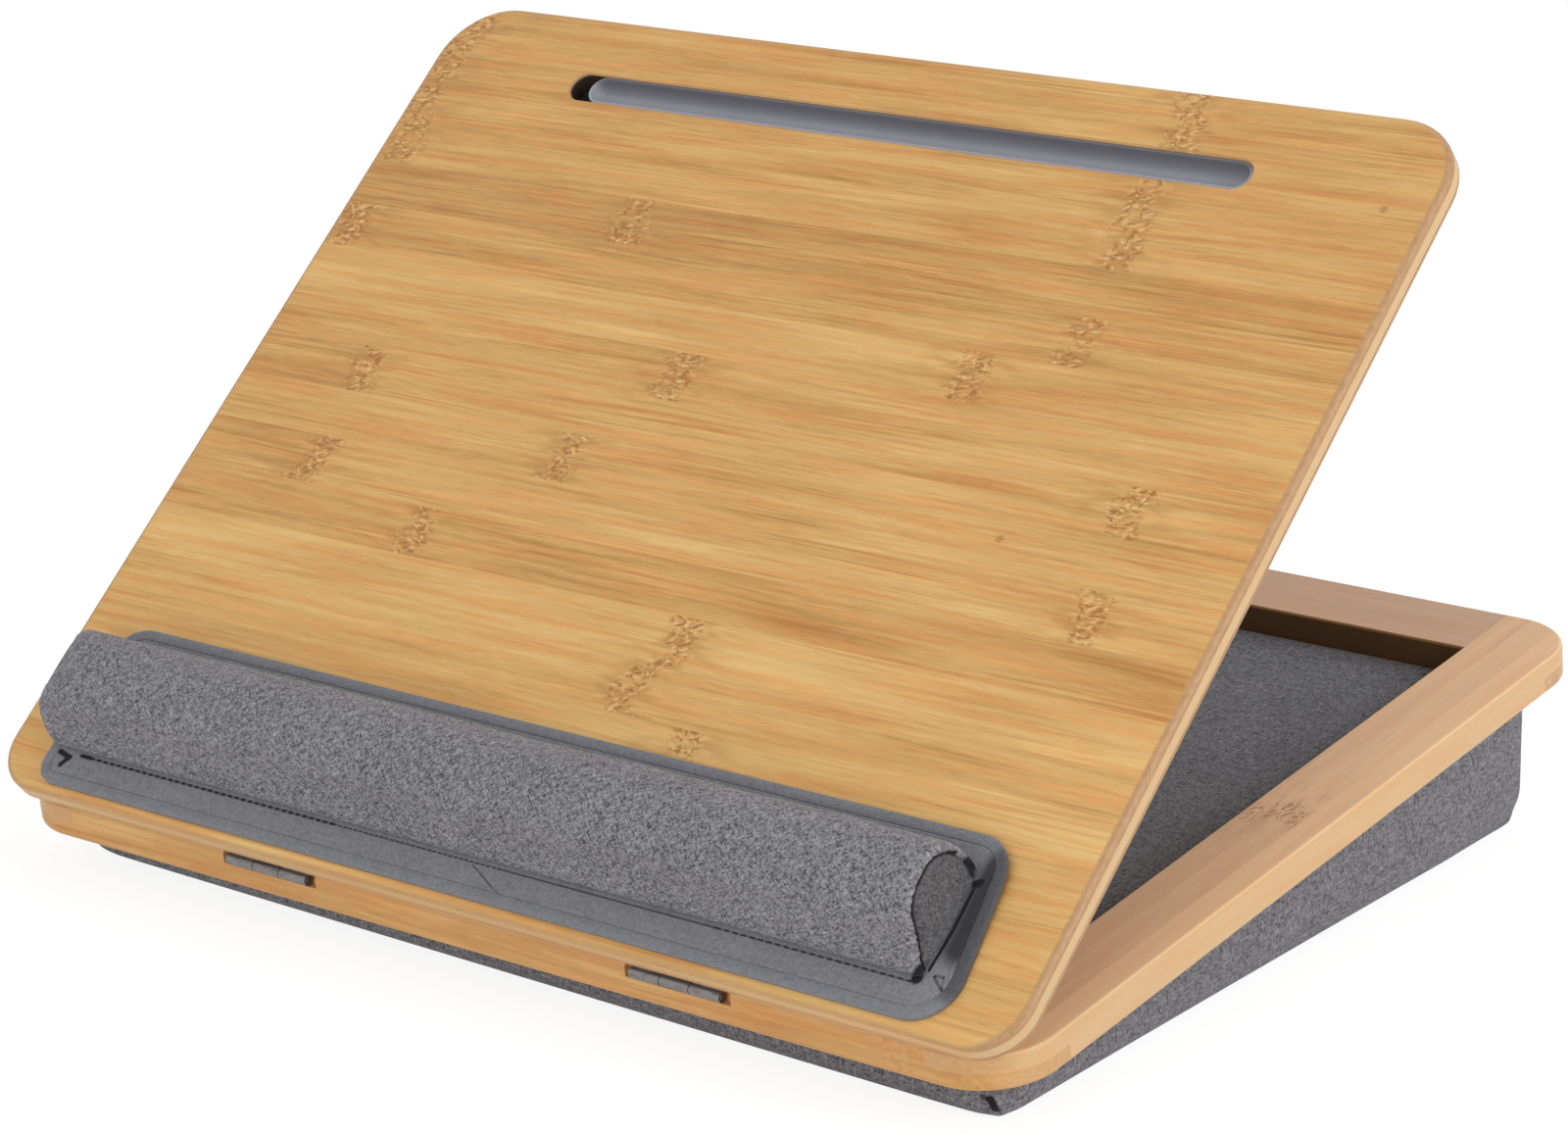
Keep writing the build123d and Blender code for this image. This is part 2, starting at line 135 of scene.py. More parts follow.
@dataclass(frozen=True)
class DeskSizes:
    """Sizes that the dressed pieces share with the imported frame, in millimetres and degrees.

    Attributes:
        slope: The frame's slope.
        opening: How far the lid stands open over the frame.
        frame_front: Where the frame's top starts at the front, from the desk's middle.
        frame_front_height: How high that edge lies.
        frame_width: The frame's width.
        frame_depth: Its depth up the slope.
        frame_thickness: Its thickness.
        side_rail: A side rail's width.
        end_rail: The front or back rail's width.
        board_thickness: The tray board's thickness.
        barrel_radius: The hinge barrels' radius.
        closed_gap: The gap under the lid when it is shut.
        lid_thickness: The lid's thickness.
        cushion_width: The cushion's width.
        cushion_depth: Its depth.
    """

    slope: float = 6.95
    opening: float = 34.2
    frame_front: float = -174.75
    frame_front_height: float = 25.5
    frame_width: float = 424.0
    frame_depth: float = 355.5
    frame_thickness: float = 12.0
    side_rail: float = 31.0
    end_rail: float = 31.5
    board_thickness: float = 3.0
    barrel_radius: float = 2.0
    closed_gap: float = 0.4
    lid_thickness: float = 8.5
    cushion_width: float = 404.0
    cushion_depth: float = 325.5

    def frame_top(self) -> WorkPlane:
        """The tray frame's top face, from its front edge."""
        origin = Vector((0, self.frame_front, self.frame_front_height)) * MM
        return WorkPlane(origin, math.radians(self.slope))

    def lid_top(self) -> WorkPlane:
        """The lid's top face, from above the hinge axis.

        Returns:
            The plane at the pose that the desk was packed in.
        """
        axis = self.frame_top().raised(-self.barrel_radius)
        turned = WorkPlane(axis.origin, math.radians(self.slope + self.opening))
        return turned.raised(self.barrel_radius + self.closed_gap + self.lid_thickness)


# ---- Shader graphs ---------------------------------------------------------------------------


class Value:
    """A shader socket that Python's operators work on."""

    def __init__(self, graph: "Graph", socket: bpy.types.NodeSocket) -> None:
        """Wraps a node's output socket."""
        self.graph = graph
        self.socket = socket

    def __add__(self, other: "Operand") -> "Value":
        """This plus other."""
        return self.graph.math("ADD", self, other)

    def __radd__(self, other: "Operand") -> "Value":
        """Other plus this."""
        return self.graph.math("ADD", other, self)

    def __sub__(self, other: "Operand") -> "Value":
        """This less other."""
        return self.graph.math("SUBTRACT", self, other)

    def __rsub__(self, other: "Operand") -> "Value":
        """Other less this."""
        return self.graph.math("SUBTRACT", other, self)

    def __mul__(self, other: "Operand") -> "Value":
        """This times other."""
        return self.graph.math("MULTIPLY", self, other)

    def __rmul__(self, other: "Operand") -> "Value":
        """Other times this."""
        return self.graph.math("MULTIPLY", other, self)

    def __truediv__(self, other: "Operand") -> "Value":
        """This divided by other."""
        return self.graph.math("DIVIDE", self, other)

    def __abs__(self) -> "Value":
        """The size of this, without its sign."""
        return self.graph.math("ABSOLUTE", self)

    def floor(self) -> "Value":
        """The whole part of this."""
        return self.graph.math("FLOOR", self)

    def wrapped(self) -> "Value":
        """The fraction that is left over the whole part."""
        return self.graph.math("FRACT", self)

    def above(self, limit: "Operand") -> "Value":
        """One where this is over a limit, and zero elsewhere."""
        return self.graph.math("GREATER_THAN", self, limit)

    def clamped(self) -> "Value":
        """This held between zero and one."""
        return self.ramped(0.0, 1.0, smooth=False)

    def ramped(self, low: float, high: float, smooth: bool = True) -> "Value":
        """Zero below one limit, one above the other.

        Args:
            low: Where it starts. It may be over high, for a ramp that falls.
            high: Where it ends.
            smooth: Whether it eases in and out.

        Returns:
            The ramp, between zero and one.
        """
        return self.graph.value(
            "Result",
            "ShaderNodeMapRange",
            {"interpolation_type": "SMOOTHSTEP" if smooth else "LINEAR", "clamp": True},
            {"Value": self, "From Min": low, "From Max": high},
        )

    def bell(self, width: float) -> "Value":
        """One where this is zero, falling to nothing at a distance of width on each side."""
        return abs(self).ramped(width, 0.0)


Operand = Union[Value, float, int]


class Graph:
    """The node tree of one material or world, filled by expressions on values."""

    def __init__(self, tree: bpy.types.NodeTree) -> None:
        """Empties a node tree and gets ready to fill it."""
        self.tree = tree
        tree.nodes.clear()

    def node(
        self, kind: str, settings: dict | None = None, sockets: dict | None = None
    ) -> bpy.types.Node:
        """Adds a node.

        Args:
            kind: Its type.
            settings: What is set first, by name. "stops" holds a ramp's (place, colour) pairs.
            sockets: Values or links of its inputs, by name or number.

        Returns:
            The node.
        """
        made = self.tree.nodes.new(kind)
        for name, value in (settings or {}).items():
            if name == "stops":
                self._set_stops(made.color_ramp, value)
            elif name == "interpolation":
                made.color_ramp.interpolation = value
            else:
                setattr(made, name, value)
        for name, value in (sockets or {}).items():
            self.feed(made.inputs[name], value)
        return made

    def value(
        self,
        output: str | int,
        kind: str,
        settings: dict | None = None,
        sockets: dict | None = None,
    ) -> Value:
        """Adds a node and wraps one of its outputs, given by name or number."""
        return Value(self, self.node(kind, settings, sockets).outputs[output])

    @staticmethod
    def _set_stops(
        ramp: bpy.types.ColorRamp, stops: Sequence[tuple[float, Sequence[float]]]
    ) -> None:
        """Gives a colour ramp its stops.

        Args:
            ramp: The ramp.
            stops: Each stop's place and colour, in rising order.
        """
        while len(ramp.elements) < len(stops):
            ramp.elements.new(1.0)
        for element, (place, colour) in zip(ramp.elements, stops):
            element.position = place
            element.color = (*colour, 1.0) if len(colour) == 3 else colour

    def feed(self, socket: bpy.types.NodeSocket, value: object) -> None:
        """Links a value to an input, or sets the input's own number or colour.

        Args:
            socket: The input.
            value: What it gets.
        """
        if isinstance(value, Value):
            self.tree.links.new(value.socket, socket)
        elif isinstance(value, tuple) and len(value) == 3 and socket.type == "RGBA":
            socket.default_value = (*value, 1.0)
        else:
            socket.default_value = value

    def math(self, operation: str, *terms: Operand) -> Value:
        """One Math node on one or two numbers."""
        return self.value(0, "ShaderNodeMath", {"operation": operation}, dict(enumerate(terms)))

    def vector(self, operation: str, *terms: object) -> Value:
        """One Vector Math node.

        Args:
            operation: What it does.
            terms: One or two vectors, or for SCALE a vector and a number.

        Returns:
            A number for DOT_PRODUCT and LENGTH, and a vector for the others.
        """
        inputs = dict(zip((0, 3) if operation == "SCALE" else (0, 1), terms))
        output = "Value" if operation in ("DOT_PRODUCT", "LENGTH") else "Vector"
        return self.value(output, "ShaderNodeVectorMath", {"operation": operation}, inputs)

    def spot(self, plane: WorkPlane) -> Value:
        """Object coordinates on a working plane, as one vector in millimetres."""
        sockets = {
            "Vector": self.value("Object", "ShaderNodeTexCoord"),
            "Location": tuple(plane.origin),
            "Rotation": (plane.tilt, 0.0, 0.0),
            "Scale": (MM, MM, MM),
        }
        return self.value(0, "ShaderNodeMapping", {"vector_type": "TEXTURE"}, sockets)

    def places(self, plane: WorkPlane) -> tuple[Value, Value, Value]:
        """Object coordinates on a working plane, as three numbers in millimetres."""
        return self.split(self.spot(plane))

    def from_line(
        self, place: Value, start: Sequence[float], end: Sequence[float]
    ) -> tuple[Value, Value]:
        """Measures a place from a straight line.

        Args:
            place: The place, a vector.
            start: The line's start.
            end: Its end.

        Returns:
            Its distance from the line, and how far along the line it lies, from zero to one.
        """
        span = Vector(end) - Vector(start)
        offset = self.vector("SUBTRACT", place, tuple(start))
        share = self.vector("DOT_PRODUCT", offset, tuple(span / span.length_squared)).clamped()
        away = self.vector("SUBTRACT", offset, self.vector("SCALE", tuple(span), share))
        return self.vector("LENGTH", away), share

    def cloth_places(self) -> tuple[Value, Value]:
        """The piece's own UV map, laid out in millimetres."""
        across, along, _ = self.split(
            self.value(0, "ShaderNodeUVMap", {"uv_map": Workpiece.CLOTH_MAP})
        )
        return across, along

    def facing(self, way: Vector) -> Value:
        """How squarely the surface faces a direction, from minus one to one."""
        normal = self.value("Normal", "ShaderNodeTexCoord")
        return self.vector("DOT_PRODUCT", normal, tuple(way))

    def attribute(self, name: str) -> Value:
        """A number that the mesh carries at each point."""
        return self.value("Fac", "ShaderNodeAttribute", {"attribute_name": name})

    def split(self, vector: Value) -> tuple[Value, Value, Value]:
        """A vector's three numbers."""
        x, y, z = self.node("ShaderNodeSeparateXYZ", None, {0: vector}).outputs
        return Value(self, x), Value(self, y), Value(self, z)

    def joined(self, x: Operand, y: Operand, z: Operand) -> Value:
        """A vector from three numbers."""
        return self.value(0, "ShaderNodeCombineXYZ", None, {0: x, 1: y, 2: z})

    def grain(
        self, x: Operand, y: Operand, z: Operand, detail: float = 2.0, rough: float = 0.5
    ) -> Value:
        """Smooth noise whose cells are one unit wide, averaging about a half.

        Args:
            x: Its first coordinate, divided by the cell's length.
            y: Its second coordinate, likewise.
            z: Its third, or a number that sets this noise apart from others.
            detail: How many finer noises lie over it.
            rough: How strong they are.

        Returns:
            The noise.
        """
        sockets = {"Vector": self.joined(x, y, z), "Scale": 1.0, "Detail": detail}
        return self.value(
            "Fac", "ShaderNodeTexNoise", {"noise_dimensions": "3D"}, sockets | {"Roughness": rough}
        )

    def chance(self, number: Operand) -> Value:
        """An even random number for each value of a number."""
        return self.value(
            "Value", "ShaderNodeTexWhiteNoise", {"noise_dimensions": "1D"}, {"W": number}
        )

    def table(
        self, place: Value, rows: Sequence[Sequence[float]]
    ) -> tuple[Value, Value, Value, Value]:
        """Looks up four numbers by a row number.

        Args:
            place: The row's number, whole.
            rows: Four numbers, each from zero to one, for each row.

        Returns:
            The row's numbers.
        """
        stops = [(i / len(rows), row) for i, row in enumerate(rows)]
        made = self.node(
            "ShaderNodeValToRGB",
            {"interpolation": "CONSTANT", "stops": stops},
            {0: (place + 0.5) / float(len(rows))},
        )
        parts = self.node("ShaderNodeSeparateColor", None, {0: Value(self, made.outputs[0])})
        first, second, third = (Value(self, parts.outputs[i]) for i in range(3))
        return first, second, third, Value(self, made.outputs[1])

    def scale_of(self, amount: Value, stops: Sequence[tuple[float, Rgb]]) -> Value:
        """A colour from a ramp of colours."""
        return self.value(0, "ShaderNodeValToRGB", {"stops": stops}, {0: amount})

    def blend(self, amount: Operand, under: object, over: object, mode: str = "MIX") -> Value:
        """Lays one colour over another.

        Args:
            amount: How much of the upper colour shows, from zero to one.
            under: The lower colour, a value or three numbers.
            over: The upper colour.
            mode: How they mix.

        Returns:
            The mixed colour.
        """
        settings = {"data_type": "RGBA", "blend_type": mode, "clamp_factor": True}
        return self.value(2, "ShaderNodeMix", settings, {0: amount, 6: under, 7: over})

    def raised(self, height: Value, depth: float, strength: float) -> Value:
        """A normal bent by a height, where one unit of height is depth millimetres."""
        sockets = {"Height": height, "Distance": depth * MM, "Strength": strength}
        return self.value(0, "ShaderNodeBump", None, sockets)

    def looked_at(self) -> Value:
        """Tells the rays that show a surface from those that only light it.

        Returns:
            One for a ray from the camera, in gloss or through glass.
        """
        rays = self.node("ShaderNodeLightPath").outputs
        kinds = ("Is Camera Ray", "Is Glossy Ray", "Is Transmission Ray")
        return sum(Value(self, rays[kind]) for kind in kinds).clamped()

    def surface(self, **sockets: object) -> None:
        """Ends the graph in one Principled shader.

        Args:
            sockets: Its inputs by name, with _ for each space.
        """
        named = {name.replace("_", " "): value for name, value in sockets.items()}
        shader = self.value(0, "ShaderNodeBsdfPrincipled", None, named)
        self.node("ShaderNodeOutputMaterial", None, {"Surface": shader})


# ---- Finishes --------------------------------------------------------------------------------


@dataclass(frozen=True)
class Finish:
    """A surface finish, made into a material when it is first asked for.

    Attributes:
        name: Its name.
    """

    name: str

    def material(self) -> bpy.types.Material:
        """Makes the material, or finds it if it is there.

        Returns:
            The finish's material.
        """
        made = bpy.data.materials.get(self.finish_name())
        if made is None:
            made = bpy.data.materials.new(self.finish_name())
            made.use_nodes = True
            self.fill(Graph(made.node_tree))
        return made

    def finish_name(self) -> str:
        """The material's name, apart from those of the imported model."""
        return f"finish_{self.name}"

    def fill(self, graph: Graph) -> None:
        """Builds the finish's shader."""
        raise NotImplementedError


@dataclass(frozen=True)
class Strip:
    """One glued strip of a bamboo board.

    Attributes:
        tone: How pale it is up to its first growth node, from zero to one.
        tone_past: How pale it is past that node.
        nodes: Where growth nodes cross it, in millimetres along the grain.
    """

    tone: float
    tone_past: float
    nodes: tuple[float, ...] = ()


class Run(Enum):
    """The way a board's grain runs on its working plane."""

    ACROSS = "across"
    UPWARD = "upward"


@dataclass(frozen=True)
class Batch:
    """The colours of one batch of bamboo.

    Attributes:
        dark: The darkest streaks.
        middle: The common wood.
        pale: The palest streaks.
        end_dark: The dark spots of end grain.
        end_pale: The ground of end grain.
        core: The middle ply, seen on an edge.
        node_dark: The dark fibres of a growth node.
        node_pale: Its pale fibres.
        arris_highlight: The painted highlight on the arris between the top face and a side, where
            it catches the light.
    """

    dark: Rgb = (0.445, 0.214, 0.054)
    middle: Rgb = (0.630, 0.355, 0.114)
    pale: Rgb = (0.770, 0.500, 0.184)
    end_dark: Rgb = (0.405, 0.226, 0.102)
    end_pale: Rgb = (0.455, 0.265, 0.125)
    core: Rgb = (0.640, 0.460, 0.270)
    node_dark: Rgb = (0.400, 0.158, 0.038)
    node_pale: Rgb = (0.840, 0.560, 0.260)
    arris_highlight: Rgb = (0.800, 0.540, 0.250)


BOARD_BATCH = Batch()
ROSY_BATCH = Batch(
    dark=(0.520, 0.310, 0.160), middle=(0.640, 0.400, 0.220), pale=(0.780, 0.510, 0.275),
    end_dark=(0.560, 0.320, 0.135), end_pale=(0.610, 0.355, 0.155),
    node_dark=(0.420, 0.155, 0.072), node_pale=(0.720, 0.470, 0.270),
    arris_highlight=(0.840, 0.620, 0.350),
)
GREY_BATCH = Batch(
    dark=(0.440, 0.270, 0.165), middle=(0.530, 0.330, 0.205), pale=(0.590, 0.380, 0.240),
    end_dark=(0.530, 0.300, 0.145), end_pale=(0.610, 0.365, 0.190),
    node_dark=(0.420, 0.205, 0.105), node_pale=(0.700, 0.460, 0.270),
)
YELLOW_BATCH = Batch(
    dark=(0.480, 0.270, 0.105), middle=(0.600, 0.382, 0.178), pale=(0.650, 0.425, 0.215),
    end_dark=(0.520, 0.315, 0.150), end_pale=(0.600, 0.380, 0.200),
)
GOLDEN_BATCH = Batch(
    dark=(0.420, 0.190, 0.046), middle=(0.580, 0.305, 0.098), pale=(0.740, 0.465, 0.180),
    end_dark=(0.530, 0.300, 0.145), end_pale=(0.610, 0.365, 0.190),
)


@dataclass(frozen=True)
class Bamboo(Finish):
    """Oiled bamboo in glued strips, with growth nodes, plies and end grain.

    Attributes:
        plane: The working plane of the board's top face.
        run: The way the grain runs.
        batch: Its colours.
        sides: The colours of its faces that stand upright, where they differ.
        strips: The board's strips, from its low side up.
        strip_width: One strip's width, in millimetres.
        first_edge: Where the first strip starts, across the grain.
        plies: Depths of the glue lines under the top face, in millimetres.
        dots: Small pin knots on the top face, each across and along the slope.
        contrast: How strong the streaks are.
        knots: How strongly the growth nodes show.
        slot: The slot's middle, half length and half width, up the slope, whose walls lie in shade.
        inner: Whether its faces that look into the tray get painted shade.
        seed: Shifts the pattern.
    """

    plane: WorkPlane
    run: Run = Run.ACROSS
    batch: Batch = BOARD_BATCH
    sides: Batch | None = None
    strips: tuple[Strip, ...] = (Strip(0.5, 0.5),)
    strip_width: float = 20.0
    first_edge: float = 0.0
    plies: tuple[float, ...] = ()
    dots: tuple[tuple[float, float], ...] = ()
    contrast: float = 1.0
    knots: float = 1.0
    slot: tuple[float, float, float, float] | None = None
    inner: bool = False
    seed: float = 0.0

    # The length along the grain in which nodes lie, half of it on each side of zero.
    REACH = 500.0
    # The painted shade inside the tray, the painted shade in the slot, and the tint of warmer
    # streaks.
    INNER_SHADE = (0.115, 0.062, 0.024)
    SHADE = (0.040, 0.027, 0.018)
    WARMTH = (1.03, 0.885, 0.80)

    def rows(self) -> list[tuple[float, float, float, float]]:
        """Works out what the shader looks up for each strip.

        Returns:
            Two nodes' places, the tone and the tone past the first node, each from zero to one.
        """
        found = []
        for strip in self.strips:
            spots = [spot / self.REACH + 0.5 for spot in strip.nodes[:2]]
            spots += [0.0] * (2 - len(spots))
            past = strip.tone_past if strip.nodes else strip.tone
            found.append((spots[0], spots[1], strip.tone, past))
        return found

    def fill(self, graph: Graph) -> None:
        """Builds the shader: streaks, tone by strip, nodes, then end grain on the cut ends.

        Args:
            graph: The material's empty graph.
        """
        x, y, depth = graph.places(self.plane)
        along, across = (x, y) if self.run is Run.ACROSS else (y, x)
        number = ((across - self.first_edge) / self.strip_width).floor()
        # Each strip shows another length of the same streaks.
        slid = along + graph.chance(number + self.seed + 0.37) * 900.0 + self.seed * 31.0
        first, second, tone, tone_past = graph.table(number, self.rows())
        gaps = (along - (first - 0.5) * self.REACH, along - (second - 0.5) * self.REACH)
        wobble = (graph.grain(across / 9.0, number * 3.1, along / 60.0, 1.0) - 0.5) * 14.0
        side = (gaps[0] + wobble).ramped(-4.0, 4.0)

        # The streaks stray a little across the strip.
        lane = across + (graph.grain(slid / 130.0, across / 16.0, depth / 9.0, 1.0) - 0.5) * 3.0

        def streaked(length: float, width: float, height: Operand) -> Value:
            """Noise in streaks of a length and a width in millimetres."""
            return graph.grain(slid / length, lane / width, height, 1.0)

        cloud = streaked(90.0, 10.0, 4.0)
        broad = streaked(95.0, 4.4, depth / 6.0)
        middle = streaked(60.0, 1.8, depth / 3.0)
        fine = streaked(36.0, 0.8, depth / 1.2)
        short = streaked(9.0, 1.1, depth / 2.0 + 17.0)
        lines = streaked(120.0, 1.0, depth + 7.0).ramped(0.57, 0.68)
        # Fine streaks are stronger in patches and on darker strips.
        lively = streaked(80.0, 9.0, 51.0).ramped(0.36, 0.62)
        busy = lively * 0.9 + (1.0 - tone) * 0.8
        streaks = (
            (cloud - 0.5) * 0.76
            + (broad - 0.5) * 0.56
            + ((middle - 0.5) * 0.56 + (fine - 0.5) * 0.44 - lines * 0.14) * (busy + 0.20)
            + (short - 0.5) * 0.38
        )
        paleness = (tone + (tone_past - tone) * side + streaks * self.contrast + 0.03).clamped()
        colour = self.toned(graph, paleness, self.batch)
        if self.sides is not None:
            level = graph.facing(self.plane.normal())
            upright = self.toned(graph, paleness, self.sides)
            colour = graph.blend(level.ramped(0.90, 0.55), colour, upright)
            # Painted highlight along the arris, where the rounded edge catches the light.
            colour = graph.blend((level - 0.74).bell(0.24) * 0.7, colour, self.batch.arris_highlight)
        warm = graph.grain(slid / 60.0, lane / 3.4, depth / 5.0 + 31.0, 2.0).ramped(0.42, 0.66)
        colour = graph.blend(warm * self.contrast, colour, self.WARMTH, "MULTIPLY")

        colour, knots, fibre = self.with_nodes(
            graph, colour, (along, across, depth), gaps, wobble, number
        )
        for dot_x, dot_y in self.dots:
            near = ((x - dot_x) * (x - dot_x) + (y - dot_y) * (y - dot_y)).ramped(3.6, 0.6)
            colour = graph.blend(near * 0.6, colour, self.batch.node_dark)
        colour = self.with_ends(graph, colour, x, y, depth)
        relief = fine * 0.5 + middle * 0.4 - lines * 0.5 + knots * (fibre - 0.5) * 0.8
        graph.surface(
            Base_Color=colour,
            Roughness=0.46 + (middle - 0.5) * 0.16,
            Specular_IOR_Level=0.40,
            Normal=graph.raised(relief, 0.04, 0.5),
        )

    @staticmethod
    def toned(graph: Graph, paleness: Value, batch: Batch) -> Value:
        """A batch's colour at a paleness from zero to one."""
        return graph.scale_of(paleness, [(0.0, batch.dark), (0.5, batch.middle), (1.0, batch.pale)])

    def with_nodes(
        self,
        graph: Graph,
        colour: Value,
        place: tuple[Value, Value, Value],
        gaps: tuple[Value, Value],
        wobble: Value,
        number: Value,
    ) -> tuple[Value, Value, Value]:
        """Lays the growth nodes' short curled fibres on the strips.

        Args:
            graph: The graph being filled.
            colour: The long grain's colour.
            place: Along, across and over the board.
            gaps: How far along the grain each of the strip's two nodes is.
            wobble: How far a node strays.
            number: The strip's number.

        Returns:
            The colour, how much of a node shows, and its fibres' height.
        """
        along, across, depth = place
        near = sum((gap + wobble).bell(10.0) for gap in gaps).clamped()
        halo = sum((gap + wobble * 1.6).bell(30.0) for gap in gaps).clamped()
        curl = graph.grain(along / 5.0, across / 4.0, number * 2.3, 1.0) - 0.5
        fibre = graph.grain((along + curl * 5.0) / 2.5, (across + curl * 4.0) / 1.45, depth, 1.0)
        patch = graph.grain(along / 7.0, across / 4.2, number * 1.7, 1.0)
        tinge = graph.grain(along / 14.0, across / 3.6, number * 4.1, 1.0).ramped(0.44, 0.66)
        knots = (near * patch.ramped(0.28, 0.52) * 1.7).clamped() * self.knots
        colour = graph.blend(halo * tinge * 0.55 * self.knots, colour, self.batch.dark)
        colour = graph.blend(knots * 0.26, colour, self.batch.dark)
        colour = graph.blend(knots * fibre.ramped(0.50, 0.34) * 0.95, colour, self.batch.node_dark)
        colour = graph.blend(knots * fibre.ramped(0.54, 0.70) * 0.60, colour, self.batch.node_pale)
        return colour, knots, fibre

    def with_ends(self, graph: Graph, colour: Value, x: Value, y: Value, depth: Value) -> Value:
        """Lays end grain where the fibres are cut, the core ply, and painted shade in the slot and
        the tray.

        Args:
            graph: The graph being filled.
            colour: The long grain's colour.
            x: Place across the desk.
            y: Place up the slope.
            depth: Height over the top face, negative in the wood.

        Returns:
            The colour with its ends.
        """
        up = Vector((0, math.cos(self.plane.tilt), math.sin(self.plane.tilt)))
        sideways, endways = graph.facing(Vector((1, 0, 0))), graph.facing(up)
        cut, flank = (sideways, endways) if self.run is Run.ACROSS else (endways, sideways)
        mottle = graph.grain(x / 2.4, y / 2.4, depth / 1.2, 2.0).ramped(0.36, 0.66)
        ends = graph.blend(mottle, self.batch.end_dark, self.batch.end_pale)
        if self.plies:
            upper, lower = self.plies
            in_core = (0.0 - depth).ramped(upper - 0.3, upper + 0.3)
            in_core = in_core * (0.0 - depth).ramped(lower + 0.3, lower - 0.3)
            bands = graph.grain(x / 40.0, y / 40.0, depth / 0.9, 2.0)
            core = graph.blend(bands * 0.7, self.batch.core, self.batch.middle)
            ends = graph.blend(in_core, ends, core)
            colour = graph.blend(abs(flank).ramped(0.5, 0.85) * 0.55, colour, ends)
        first, last = (0.02, 0.45) if self.plies else (0.45, 0.80)
        colour = graph.blend(abs(cut).ramped(first, last), colour, ends)
        if self.slot is not None:
            middle_x, middle_y, half_x, half_y = self.slot
            within = abs(x - middle_x).ramped(half_x + 1.2, half_x + 0.2)
            within = within * abs(y - middle_y).ramped(half_y + 0.9, half_y + 0.2)
            colour = graph.blend(within * (0.0 - depth).ramped(0.3, 1.7), colour, self.SHADE)
        # Painted shade on the rails' faces that look into the tray.
        if self.inner:
            sizes = DeskSizes()
            centre = sizes.frame_depth / 2
            far_x = (abs(x) - (sizes.frame_width / 2 - sizes.side_rail)).ramped(0.6, 0.1)
            far_y = (abs(y - centre) - (centre - sizes.end_rail)).ramped(0.6, 0.1)
            tray_shade = far_x * far_y * (0.0 - depth).ramped(0.3, 1.4)
            colour = graph.blend(tray_shade, colour, self.INNER_SHADE)
        return colour


@dataclass(frozen=True)
class ShadeMark:
    """A line of painted shade on cloth: in a crease or pocket, in a soft band, or along a seam's
    stitches.

    Attributes:
        start: One end, in millimetres on the cloth's working plane.
        end: The other end.
        width: How far its painted shade reaches on each side.
        depth: How dark its painted shade is, from zero to one.
        stitch: The length of one stitch, where the painted shade breaks into dashes, or zero for an
            unbroken line.
    """

    start: tuple[float, float, float]
    end: tuple[float, float, float]
    width: float = 0.8
    depth: float = 0.8
    stitch: float = 0.0


